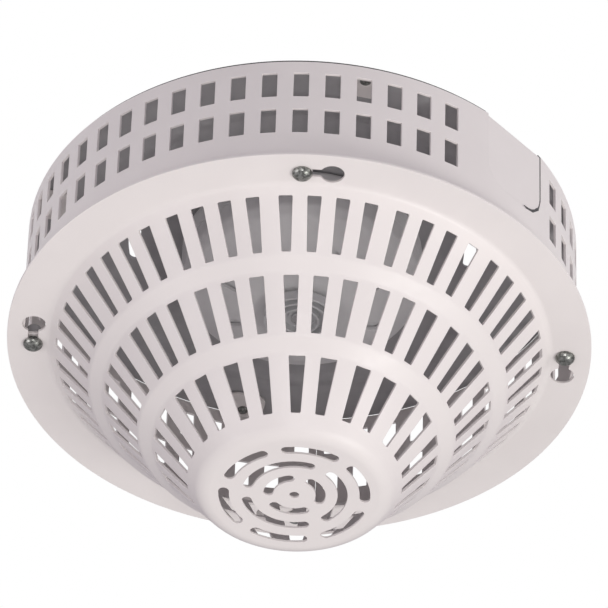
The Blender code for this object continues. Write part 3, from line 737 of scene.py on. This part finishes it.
def lug_hole(centre):
    """The round hole in a lug that the threaded insert's screw passes."""
    depth = LUG_FOOT - BEND + BEND * QUARTER_TURN + RING_RADIUS - BEND - SCREW_CIRCLE
    stretch = RING_RADIUS / SCREW_CIRCLE
    turns = np.radians(np.arange(0.0, 360.0, 15.0))

    def outline(grow):
        reach = SCREW_HOLE + grow
        return np.column_stack(
            [centre + reach * stretch * np.cos(turns), depth + reach * np.sin(turns)]
        )

    return outline


def ear_bracket(index):
    """An angle bracket on the ring's inner face, which a screw holds to the back plate."""
    bearing = EAR_BEARING + (index - 1) * SCREW_STEP
    outer = RING_RADIUS - SHEET
    quarter = BEND * QUARTER_TURN
    half, tip = EAR_WIDTH / 2, quarter + outer - BEND - EAR_TIP
    hole = (0.0, quarter + outer - BEND - EAR_SCREW_CIRCLE)
    corners = [(-half, -EAR_LEG), (half, -EAR_LEG), (half, tip), (-half, tip)]

    def surface(spots):
        across, length = spots[:, 0], spots[:, 1]
        lean = np.clip(length / BEND, 0.0, QUARTER_TURN)
        radius = outer - BEND * (1 - np.cos(lean)) - np.maximum(length - quarter, 0.0)
        turn = np.degrees(np.arcsin(across / radius))
        depth = EAR_TOP + BEND * (1 - np.sin(lean)) + np.maximum(-length, 0.0)
        out = polar(np.cos(lean), bearing + turn)
        place = np.column_stack([polar(radius, bearing + turn), -depth])
        return place, np.column_stack([out, np.sin(lean)])

    bends = [
        (across, quarter * k / 5) for k in range(6) for across in np.linspace(-half, half, 9)[1:-1]
    ]
    made = sheet_mesh(
        lambda grow: rounded(corners, EAR_CORNERS, grow, 6, pitch=1.6)[0],
        [ring_of(SCREW_HOLE, HOLE_STEPS, hole)], surface, SHEET, edge=0.22, spots=bends,
    )
    mesh_piece(f"ear_bracket_{index}", *made, "white_powder_coat", "mount", "ring_wall")


def window(centre, depth):
    half, tall = WINDOW_WIDTH / 2, WINDOW_HEIGHT / 2
    corners = [
        (centre - half, depth - tall), (centre + half, depth - tall),
        (centre + half, depth + tall), (centre - half, depth + tall),
    ]
    return lambda grow: rounded(corners, WINDOW_CORNER, grow, pitch=3.3)[0]


def windows(step):
    """The ring's windows, and points between their rows."""
    holes, spots = [], []
    for i in range(-(WINDOW_COUNT // 2), WINDOW_COUNT // 2):
        centre = along_wall(WINDOW_BEARING + i * step)
        if i not in PLAIN_WINDOWS:
            holes += [window(centre, depth) for depth in WINDOW_DEPTHS]
        for shift in (0.0, along_wall(step / 2)):
            spots += [(centre + shift, depth) for depth in PLAIN_DEPTHS]
    return holes, np.array(spots)


def ring_wall():
    step = 360.0 / WINDOW_COUNT
    seam = WINDOW_BEARING - step * (WINDOW_COUNT // 2 + 0.5)
    first, last = along_wall(seam) + SEAM / 2, along_wall(seam + 360.0) - SEAM / 2
    corners = [(last, RING_TOP), (last, RING_FOOT)]
    radii = [STRIP_CORNER] * 2
    holes = []
    for i in (1, 0, -1, -2):
        centre = along_wall(i * SCREW_STEP)
        more, sizes = lug(centre)
        corners += more
        radii += sizes
        holes.append(lug_hole(centre))
    corners += [(first, RING_FOOT), (first, RING_TOP)]
    radii += [STRIP_CORNER] * 2
    tab = along_wall(TAB_BEARING)
    left, right = tab - TAB_WIDTH / 2 - TAB_GAP_LEFT, tab + TAB_WIDTH / 2 + TAB_GAP
    corners += [(left, RING_TOP), (left, TAB_BOTTOM + TAB_GAP)]
    corners += [(right, TAB_BOTTOM + TAB_GAP), (right, RING_TOP)]
    radii += [NOTCH_LIP, TAB_CORNER, TAB_CORNER + TAB_GAP, NOTCH_LIP]
    cut, spots = windows(step)
    holes += cut

    def outline(grow):
        return rounded(corners, radii, grow, pitch=3.2)[0]

    spots = spots[inside(spots, outline(-1.0))]
    made = sheet_mesh(outline, holes, wall_surface, SHEET, spots=spots)
    mesh_piece("punched_ring", *made, "white_powder_coat", "mount", "ring_wall")


def knockout_gap_shade():
    """A dark strip sunk in the cut along the tab's right side and round its corner, where the
    knock-out's web would be. Its darkness is painted shade for the shadow in the gap.
    """
    tab = along_wall(TAB_BEARING)
    under, sharp = GAP_SHADE_LAP, 0.1
    inner, outer = tab + TAB_WIDTH / 2 - under, tab + TAB_WIDTH / 2 + TAB_GAP + under
    top, foot, end = RING_TOP + 0.2, TAB_BOTTOM - under, inner - TAB_CORNER * 0.8
    low = TAB_BOTTOM + TAB_GAP + under
    corners = [(outer, top), (outer, low), (end, low), (end, foot), (inner, foot), (inner, top)]
    radii = (sharp, TAB_CORNER + TAB_GAP + under, sharp, sharp, TAB_CORNER - under, sharp)

    def surface(spots):
        place, normal = wall_surface(spots)
        return place - normal * GAP_SHADE_SUNK, normal

    made = sheet_mesh(
        lambda grow: rounded(corners, radii, grow, 6, pitch=4.0)[0], [], surface,
        GAP_SHADE_THICKNESS, edge=0.05,
    )
    mesh_piece("knockout_gap_shade", *made, "grey_zinc_plate", "mount", "conduit_knockout")


def conduit_knockout():
    """The flat tab in the ring's notch."""
    chord = math.sqrt(RING_RADIUS**2 - (TAB_WIDTH / 2) ** 2)
    half = TAB_WIDTH / 2
    corners = [(-half, TAB_TOP), (half, TAB_TOP), (half, TAB_BOTTOM), (-half, TAB_BOTTOM)]
    tilt = math.radians(TAB_BEARING - TAB_TILT)
    along = np.array((math.cos(tilt), math.sin(tilt)))
    out = np.array((math.sin(tilt), -math.cos(tilt)))
    centre = polar(chord, TAB_BEARING)

    def surface(spots):
        plan = centre + spots[:, :1] * along
        normal = np.tile((*out, 0.0), (len(spots), 1))
        return np.column_stack([plan, -spots[:, 1]]), normal

    made = sheet_mesh(
        lambda grow: rounded(corners, (0.6, 0.6, TAB_CORNER, TAB_CORNER), grow, 8, pitch=4.0)[0],
        [], surface, SHEET, edge=0.22,
    )
    mesh_piece("knockout_tab", *made, "white_powder_coat", "mount", "conduit_knockout")


# Back plate -------------------------------------------------------------

BEAD_RADIUS = 86.0
BEAD_HALF = 5.0
BEAD_HEIGHT = 1.0
BOX_BEARINGS = (90.0, 270.0)
# Radius, width and half angle.
BOX_SLOT = (70.0, 5.0, 6.0)
BOX_LAND = 5.0
CABLE_ENTRY_RADIUS = 8.0
LAND_SLOPE = 1.0
LAND_RISE = PLATE_DEPTH - PLATE_THICKNESS


def plate_surface(spots):
    """The plate's lower face, with one bead pressed into it and a raised land round each slot."""
    radius = np.linalg.norm(spots, axis=1)
    away = spots / np.maximum(radius, TINY)[:, None]
    phase = np.clip((radius - BEAD_RADIUS) / BEAD_HALF, -1.0, 1.0) * math.pi
    height = BEAD_HEIGHT * (1 + np.cos(phase)) / 2
    for bearing in BOX_BEARINGS:
        land = arc_slot(*BOX_SLOT, bearing)(BOX_LAND + LAND_SLOPE / 2)
        height[inside_near(spots, land)] = LAND_RISE
    slope = -BEAD_HEIGHT * np.sin(phase) / 2 * math.pi / BEAD_HALF
    size = np.hypot(slope, 1.0)
    normal = np.column_stack([-away * (slope / size)[:, None], -1.0 / size])
    return np.column_stack([spots, -PLATE_THICKNESS - height]), normal


def plate_rim(grow):
    """The plate's outline, with a notch behind the conduit knock-out."""
    reach, floor = PLATE_RADIUS + grow, TAB_NOTCH + grow
    side = TAB_WIDTH / 2 + NOTCH_GAP - grow
    cut = math.degrees(math.asin(side / reach))
    bearings = np.linspace(TAB_BEARING + cut, TAB_BEARING + 360.0 - cut, 240)
    corner = math.degrees(math.atan2(side, floor))
    notch = polar(math.hypot(side, floor), TAB_BEARING + np.array((-corner, corner)))
    return np.concatenate([polar(reach, bearings), notch])


def back_plate():
    holes = [ring_of(CABLE_ENTRY_RADIUS, 48, middle_of("cable_grommet").xy)]
    for i in range(SCREW_COUNT):
        at = polar(EAR_SCREW_CIRCLE, EAR_BEARING + i * SCREW_STEP)
        holes.append(ring_of(SCREW_HOLE, HOLE_STEPS, at))
    for name in ("base_screw_1", "base_screw_2"):
        holes.append(ring_of(SCREW_HOLE, HOLE_STEPS, middle_of(name).xy))
    slots = [arc_slot(*BOX_SLOT, bearing) for bearing in BOX_BEARINGS]
    rings = [ring_of(BEAD_RADIUS + BEAD_HALF * k / 4, 180)(0.0) for k in range(-4, 5)]
    rings += [slot(BOX_LAND + way) for slot in slots for way in (0.0, LAND_SLOPE)]
    holes += slots
    made = sheet_mesh(plate_rim, holes, plate_surface, PLATE_THICKNESS, edge=0.15, rings=rings)
    mesh_piece("pressed_back_plate", *made, "grey_zinc_plate", "mount", "back_plate")


# Fixings ----------------------------------------------------------------

HEAD_RIM = 0.35
THREAD_PITCH = 0.8
THREAD_DEPTH = 0.28
INSERT_RADIUS = 2.85
INSERT_BORE = 1.85


def dome_screw(name, node, body, head, height, seat, tip, slot):
    """A round-head screw with a threaded shank. Its dome is plain, as in the photograph."""
    centre = middle_of(node).xy
    crown = [
        (head * math.cos(t), seat + HEAD_RIM + (height - HEAD_RIM) * math.sin(t))
        for t in np.radians((0, 18, 36, 54, 70))
    ]
    corners = [(0.0, tip), (SCREW_SHANK - 0.5, tip), (SCREW_SHANK, tip + 0.7)]
    radii = [0.1, 0.1, 0.1]
    thread = tip + 1.2
    while thread < seat - 1.6:
        corners.append((SCREW_SHANK, thread))
        corners.append((SCREW_SHANK - THREAD_DEPTH, thread + THREAD_PITCH / 2))
        radii += [0.05, 0.05]
        thread += THREAD_PITCH
    corners += [(SCREW_SHANK, seat - 1.0), (SCREW_SHANK, seat), (head - 0.15, seat)]
    radii += [0.05, 0.15, 0.2]
    corners += [*crown, (0.0, seat + height)]
    radii += [0.5] * len(crown) + [0.1]
    made = lathe_mesh(corners, radii, 48, centre, closed=False)
    mesh_piece(name, *made, slot, body, node)


def clinch_nut(index):
    """A threaded insert with a knurled collar."""
    node = f"clinch_nut_{index}"
    centre = middle_of(node).xy
    top, bottom = span_of(node)
    outer, bore = INSERT_RADIUS, INSERT_BORE
    corners = [
        (bore, top), (outer - 0.5, top), (outer, top + 0.5), (outer, top + 3.0),
        (outer - 0.35, top + 3.2), (outer - 0.35, top + 3.6), (outer, top + 3.8),
        (outer, bottom), (bore, bottom),
    ]
    made = lathe_mesh(corners, 0.08, 40, centre)
    mesh_piece(f"threaded_insert_{index}", *made, "grey_zinc_plate", "mount", node)


def fixings():
    for i in range(1, SCREW_COUNT + 1):
        node = f"cover_screw_{i}"
        dome_screw(
            f"round_screw_{i}", node, node, SCREW_HEAD, SCREW_HEAD_HEIGHT,
            GUARD_DEPTH + SKIM, top_of(node), "dark_screw_steel",
        )
        node = f"ear_screw_{i}"
        dome_screw(
            f"ear_fixing_{i}", node, "mount", *EAR_SCREW, EAR_TOP + SHEET + SKIM,
            top_of(node), "dark_screw_steel",
        )
        clinch_nut(i)


# Detector ---------------------------------------------------------------


def turned_piece(name, node, slot, body, corners, radii=0.25, steps=96, closed=True):
    """A turned piece that stands for one CAD node, on that node's own axis."""
    made = lathe_mesh(corners, radii, steps, middle_of(node).xy, closed)
    mesh_piece(name, *made, slot, body, node)


def slab(name, node, slot, body, corners, depths, radii=0.6, bearing=0.0, holes=()):
    """A flat piece between two depths, drawn towards -Y and turned to a bearing."""
    top, bottom = depths
    turn = spin(bearing)

    def surface(spots):
        normal = np.tile((0.0, 0.0, -1.0), (len(spots), 1))
        return np.column_stack([spots @ turn, np.full(len(spots), -bottom)]), normal

    made = sheet_mesh(
        lambda grow: rounded(corners, radii, grow, pitch=4.0)[0], holes, surface,
        bottom - top, edge=0.12,
    )
    mesh_piece(name, *made, slot, body, node)


def oblong(near, far, width):
    """A rectangle in plan from one radius to another, towards -Y."""
    half = width / 2
    return [(-half, -far), (half, -far), (half, -near), (-half, -near)]


def profile_sheet(name, replaced, slot, body, corners, radii, thickness, holes=()):
    """A turned sheet. In its flat pattern, a spot's radius is its distance along the profile."""
    profile = [(radius, -depth) for radius, depth in corners]
    path, out = rounded(profile, radii, steps=5, closed=False)
    if path[0, 0] > path[-1, 0]:
        path, out = path[::-1], out[::-1]
    steps = np.linalg.norm(np.diff(path, axis=0), axis=1)
    along = path[0, 0] + np.concatenate([[0.0], np.cumsum(steps)])

    def surface(spots):
        distance = np.linalg.norm(spots, axis=1)
        away = spots / distance[:, None]
        radius, height, across, up = (
            np.interp(distance, along, column) for column in (*path.T, *out.T)
        )
        size = np.hypot(across, up)
        place = np.column_stack([away * radius[:, None], height])
        return place, np.column_stack([away * (across / size)[:, None], up / size])

    rings = [ring_of(bend, 120)(0.0) for bend in along[1:-1]]
    made = sheet_mesh(
        ring_of(along[-1], 120), [ring_of(along[0], 120), *holes], surface, thickness,
        edge=0.2, rings=rings,
    )
    mesh_piece(name, *made, slot, body, *replaced)


TERMINAL_BEARINGS = (45.0, 135.0, 225.0, 315.0)
TERMINAL_CIRCLE = 38.0
# Nearest and furthest radius, and width.
TERMINAL_PLATE = (32.7, 43.0, 9.0)
TERMINAL_JAW = (32.9, 33.7, 8.0)
# Radius and height of a screw's head.
TERMINAL_SCREW = (3.0, 1.8)
BASE_SCREW = (3.4, 2.0)
BASE_WALL = 2.5
BASE_MIDDLE = 26.0
COLLAR = (1.5, 2.0)
BLADE_CIRCLE = 31.5
BLADE_WIDTH = 7.0
BLADE_HALF = 0.4
SHELL_WALL = 1.8
SHELL_CORNERS = (
    (9.0, SHELL_FOOT), (19.0, SHELL_FOOT), (26.0, 35.0), (38.0, 31.0), (47.5, 25.5),
    (50.0, 21.0), (50.0, BASE_FOOT + SKIM),
)
SHELL_BENDS = (1.0, 12.0, 14.0, 12.0, 6.0, 5.0, 1.0)
VENTS = 8
VENT_ENDS = ((36.6, 5.0), (27.1, 5.0))
VENT_CORNER = 2.0
PIN_BORE = 2.3
CARRIER_FOOT = HEAD_TOP + 2.0
ARM_TOP, ARM_FOOT = span_of("moving_contact")


def detector_base():
    floor = BASE_TOP + BASE_WALL
    spots = [polar(TERMINAL_CIRCLE, bearing) for bearing in TERMINAL_BEARINGS]
    holes = [ring_of(SCREW_HOLE, HOLE_STEPS, spot) for spot in spots]
    for i in (1, 2):
        node = f"base_screw_{i}"
        holes.append(ring_of(SCREW_HOLE, HOLE_STEPS, middle_of(node).xy))
        foot = foot_of(node)
        dome_screw(
            f"base_fixing_{i}", node, "mount", *BASE_SCREW, foot - BASE_SCREW[1], top_of(node),
            "bright_steel",
        )
    profile_sheet(
        "moulded_base", ["detector_base"], "grey_moulding", "mount",
        [(BASE_MIDDLE, BASE_TOP), (BASE_RADIUS, BASE_TOP), (BASE_RADIUS, BASE_FOOT)],
        (1.0, 3.2, 1.0), BASE_WALL, holes,
    )
    near, far, ridge = BASE_MIDDLE, BASE_MIDDLE + COLLAR[0], floor + COLLAR[1]
    turned_piece(
        "base_collar", "detector_base", "grey_moulding", "mount",
        [(near, floor), (far, floor), (far, ridge), (near, ridge)], 0.35,
    )
    for i, bearing in enumerate(TERMINAL_BEARINGS, 1):
        terminal(i, bearing, floor + GAP)
    node = "cable_grommet"
    top, foot = span_of(node)
    turned_piece(
        "rubber_grommet", node, "black_rubber", "mount",
        [(5.2, top), (7.7, top), (7.7, foot - 2.0), (9.2, foot - 2.0), (9.2, foot), (5.2, foot)],
        (0.5, 0.3, 0.3, 0.5, 0.9, 0.9), 48,
    )


def terminal(index, bearing, floor):
    """A clamp plate with an upright jaw, its screw and the blade that wipes the jaw."""
    node = f"base_terminal_{index}"
    hole = ring_of(SCREW_HOLE, HOLE_STEPS, (0.0, -TERMINAL_CIRCLE))
    slab(
        f"terminal_foot_{index}", node, "brass", "mount", oblong(*TERMINAL_PLATE),
        (floor, floor + 1.0), 1.0, bearing, [hole],
    )
    slab(
        f"terminal_jaw_{index}", node, "brass", "mount", oblong(*TERMINAL_JAW),
        (floor + 1.0, foot_of(node)), 0.3, bearing,
    )
    node = f"terminal_screw_{index}"
    seat = foot_of(node) - TERMINAL_SCREW[1]
    dome_screw(
        f"terminal_fixing_{index}", node, "mount", *TERMINAL_SCREW, seat, top_of(node),
        "bright_steel",
    )
    node = f"contact_blade_{index}"
    slab(
        f"wiping_blade_{index}", node, "brass", "head",
        oblong(BLADE_CIRCLE - BLADE_HALF, BLADE_CIRCLE + BLADE_HALF, BLADE_WIDTH),
        (top_of(node), HEAD_TOP), 0.3, bearing,
    )


def detector_head():
    step = 360.0 / VENTS
    vents = [tapered_slot((i + 0.5) * step, *VENT_ENDS, VENT_CORNER) for i in range(VENTS)]
    profile_sheet(
        "domed_shell", ["head_shell"], "grey_moulding", "head", SHELL_CORNERS, SHELL_BENDS,
        SHELL_WALL, vents,
    )
    profile_sheet(
        "vent_baffle", [], "grey_moulding", "head", [(25.6, 32.7), (37.2, 28.9)], 0.5, 0.6
    )
    carrier_rim, ridge = 47.6, foot_of("head_carrier")
    turned_piece(
        "carrier_disc", "head_carrier", "grey_moulding", "head",
        [
            (6.0, HEAD_TOP), (carrier_rim, HEAD_TOP), (carrier_rim, CARRIER_FOOT),
            (40.0, CARRIER_FOOT), (40.0, ridge), (37.0, ridge), (37.0, CARRIER_FOOT),
            (6.0, CARRIER_FOOT),
        ],
    )
    slab(
        "carrier_post", "head_carrier", "grey_moulding", "head",
        [(26.0, -4.0), (29.5, -4.0), (29.5, 4.0), (26.0, 4.0)], (CARRIER_FOOT, ARM_TOP - GAP),
    )
    diaphragm()
    contacts()
    trip_parts()


def diaphragm():
    """A corrugated disc and the ring that clamps it to the carrier's ridge."""
    top, waves, rise, sheet = top_of("diaphragm"), 8, 0.7, 0.5
    rim, middle = 39.5, 2.6
    upper = [
        (rim + (middle - rim) * i / waves, top + rise * (i % 2)) for i in range(waves + 1)
    ]
    lower = [(radius, depth + sheet) for radius, depth in reversed(upper)]
    radii = [0.1] + [7.0] * (waves - 1) + [0.1]
    turned_piece(
        "corrugated_diaphragm", "diaphragm", "spring_copper", "head", upper + lower, radii * 2
    )
    top, foot = span_of("diaphragm_clamp")
    turned_piece(
        "clamp_ring", "diaphragm_clamp", "bright_steel", "head",
        [(37.2, top), (40.0, top), (40.0, foot), (37.2, foot)], 0.3,
    )


def contacts():
    """The leaf over the pin's top, and the shelf that it closes on."""
    slab(
        "contact_leaf", "moving_contact", "spring_copper", "contact_arm",
        [
            (-2.0, -2.5), (24.0, -2.5), (24.0, -4.0), (31.0, -4.0), (31.0, 4.0), (24.0, 4.0),
            (24.0, 2.5), (-2.0, 2.5),
        ],
        (ARM_TOP, ARM_FOOT), (1.8, 0.6, 0.6, 1.2, 1.2, 0.6, 0.6, 1.8),
    )
    shelf = foot_of("fixed_contact")
    slab(
        "contact_shelf", "fixed_contact", "brass", "head",
        [(7.0, -3.0), (13.0, -3.0), (13.0, 12.0), (7.0, 12.0)], (shelf - 0.6, shelf),
    )
    slab(
        "contact_riser", "fixed_contact", "brass", "head",
        [(7.0, 10.5), (13.0, 10.5), (13.0, 12.0), (7.0, 12.0)],
        (top_of("fixed_contact"), shelf - 0.6), 0.3,
    )


def trip_parts():
    """The bush, the alloy ring that holds the pin up, and the finned collector on the pin."""
    top, foot = span_of("guide_bush")
    seat = foot - SHELL_WALL - GAP
    turned_piece(
        "turned_bush", "guide_bush", "brass", "head",
        [
            (2.5, top), (8.6, top), (8.6, seat - 1.0), (10.5, seat - 1.0), (10.5, seat),
            (8.6, seat), (8.6, foot), (6.2, foot), (6.2, top + 1.0), (2.5, top + 1.0),
        ],
        0.2, 64,
    )
    top, foot = span_of("fusible_slug")
    turned_piece(
        "alloy_ring", "fusible_slug", "fusible_alloy", "head",
        [(PIN_BORE, top), (3.6, top), (3.6, foot), (PIN_BORE, foot)], (0.2, 0.5, 0.5, 0.2), 48,
    )
    top, foot = span_of("plunger")
    turned_piece(
        "drop_pin", "plunger", "bright_steel", "collector",
        [(0.0, top), (2.0, top), (2.0, foot - 1.2), (3.8, foot - 1.2), (3.8, foot), (0.0, foot)],
        (0.1, 0.5, 0.2, 0.3, 0.5, 0.1), 48, False,
    )
    top, foot = span_of("plunger_clip")
    turned_piece(
        "pin_clip", "plunger_clip", "bright_steel", "collector",
        [(PIN_BORE, top), (4.2, top), (4.2, foot), (PIN_BORE, foot)], 0.15, 48,
    )
    heat_collector()


def heat_collector():
    """A disc with ring-shaped fins, turned from one bar."""
    top, foot = span_of("heat_collector")
    web, rim, hub, shoulder = top + 1.9, radius_of("heat_collector"), 7.5, top + 0.9
    corners = [(PIN_BORE, top), (hub, top), (hub, shoulder), (rim, shoulder), (rim, foot)]
    for fin in (rim - 1.0, rim - 4.5, rim - 8.0):
        corners += [(fin, foot), (fin, web)]
        if fin > 8.0:
            corners += [(fin - 2.5, web), (fin - 2.5, foot)]
    corners += [(5.0, web), (5.0, top + 2.8), (PIN_BORE, top + 2.8)]
    turned_piece("finned_collector", "heat_collector", "bare_aluminium", "collector", corners, 0.2)


def keep_cad_nodes():
    """A carried-over solid gets the detailed material of its slot."""
    for row in frame["record"]["subparts"]:
        node = frame["nodes"][row["node"]]
        if node.hide_render:
            continue
        node.data.materials.clear()
        node.data.materials.append(LOOKS[row["material_slot"]])


# Studio -----------------------------------------------------------------

# The camera looks up at the object from this far below the horizon, in degrees.
CAMERA_ELEVATION = 40.549
CAMERA_BEARING = 0.5
CAMERA_ROLL = 1.856
CAMERA_DISTANCE = 2429.3
CAMERA_SLIDE = (-2.07, 18.93)
SENSOR = 36.0
LENS = 350.155658
CLIP_END = 50.0

WHITE = (1.0, 1.0, 1.0)

# A light's place and size in metres, its power in watts and its colour.
KEY = ((1.30, -0.45, -1.65), 0.8, 16.2, (1.0, 0.995, 0.955))
FILL = ((-1.5, -0.7, -1.1), 1.2, 8.2, (1.0, 0.96, 0.965))
SIDE = ((1.60, -0.60, -0.35), 0.6, 4.5, (1.0, 0.98, 0.95))
FRONT = ((0.03, -1.41, -1.26), 0.24, 5.0, (1.0, 0.98, 0.96))
SKY_LOW = (0.24, 0.208, 0.268)
SKY_TOP = (0.68, 0.68, 0.69)
HAZE = (0.45, 0.445, 0.45)
# Positions are the sine of the elevation above the horizon.
SKY_STOPS = (
    (0.0, HAZE), (0.03, SKY_LOW), (0.49, SKY_LOW), (0.575, WHITE), (0.71, WHITE), (0.80, SKY_LOW),
    (0.86, SKY_TOP),
)

# The floor, in metres.
FLOOR_LEVEL = -4.2
FLOOR_REACH = 40.0
AIM = Vector((0.0, 0.0, -0.06))


def camera():
    tilt, turn, roll = (math.radians(a) for a in (CAMERA_ELEVATION, CAMERA_BEARING, CAMERA_ROLL))
    back = Vector((
        math.sin(turn) * math.cos(tilt), -math.cos(turn) * math.cos(tilt), -math.sin(tilt)
    ))
    right = Vector((math.cos(turn), math.sin(turn), 0.0))
    up = back.cross(right)
    across = math.cos(roll) * right + math.sin(roll) * up
    upward = math.cos(roll) * up - math.sin(roll) * right
    place = Vector((0.0, 0.0, -GUARD_DEPTH)) + back * CAMERA_DISTANCE
    place += upward * CAMERA_SLIDE[1] - across * CAMERA_SLIDE[0]
    data = bpy.data.cameras.new("camera")
    data.sensor_width = SENSOR
    data.lens = LENS
    data.clip_end = CLIP_END
    made = bpy.data.objects.new("camera", data)
    bpy.context.scene.collection.objects.link(made)
    axes = Matrix((across, upward, back)).transposed().to_4x4()
    made.matrix_world = Matrix.Translation(place * MM) @ axes
    bpy.context.scene.camera = made


def area_light(name, place, size, power, colour):
    data = bpy.data.lights.new(name, "AREA")
    data.shape = "DISK"
    data.size = size
    data.energy = power
    data.color = colour
    made = bpy.data.objects.new(name, data)
    bpy.context.scene.collection.objects.link(made)
    made.location = place
    made.rotation_euler = (AIM - Vector(place)).to_track_quat("-Z", "Y").to_euler()
    made.visible_camera = False


def sky():
    """A white band where the camera looks, and softer light above and below it."""
    world = bpy.data.worlds.new("studio")
    world.use_nodes = True
    tree = world.node_tree
    place = tree.nodes.new("ShaderNodeTexCoord").outputs["Generated"]
    height = tree.nodes.new("ShaderNodeSeparateXYZ")
    tree.links.new(place, height.inputs["Vector"])
    ramp = tree.nodes.new("ShaderNodeValToRGB")
    for _ in SKY_STOPS[2:]:
        ramp.color_ramp.elements.new(1.0)
    for element, (position, colour) in zip(ramp.color_ramp.elements, SKY_STOPS):
        element.position = position
        element.color = (*colour, 1.0)
    tree.links.new(height.outputs["Z"], ramp.inputs["Fac"])
    tree.links.new(ramp.outputs["Color"], tree.nodes["Background"].inputs["Color"])
    bpy.context.scene.world = world


def studio():
    sky()
    area_light("key", *KEY)
    area_light("fill", *FILL)
    area_light("side", *SIDE)
    area_light("front", *FRONT)
    bpy.context.scene.view_settings.view_transform = "Standard"


def pale_floor():
    """A plain floor far below, as the object hangs from a ceiling."""
    signs = ((-1, -1), (1, -1), (1, 1), (-1, 1))
    corners = [(x * FLOOR_REACH, y * FLOOR_REACH, FLOOR_LEVEL) for x, y in signs]
    mesh = bpy.data.meshes.new("floor")
    mesh.from_pydata(corners, [], [(0, 1, 2, 3)])
    floor = bpy.data.objects.new("floor", mesh)
    bpy.context.scene.collection.objects.link(floor)
    look = Look("pale_floor", 0.7)
    look.colour(look.noise(300.0, 2.0), (0.3, (0.76, 0.76, 0.74)), (0.7, (0.80, 0.80, 0.78)))
    mesh.materials.append(look.material)


camera()
studio()
pale_floor()
guard_cover()
ring_wall()
for number in range(1, SCREW_COUNT + 1):
    ear_bracket(number)
conduit_knockout()
knockout_gap_shade()
back_plate()
fixings()
detector_base()
detector_head()
keep_cad_nodes()
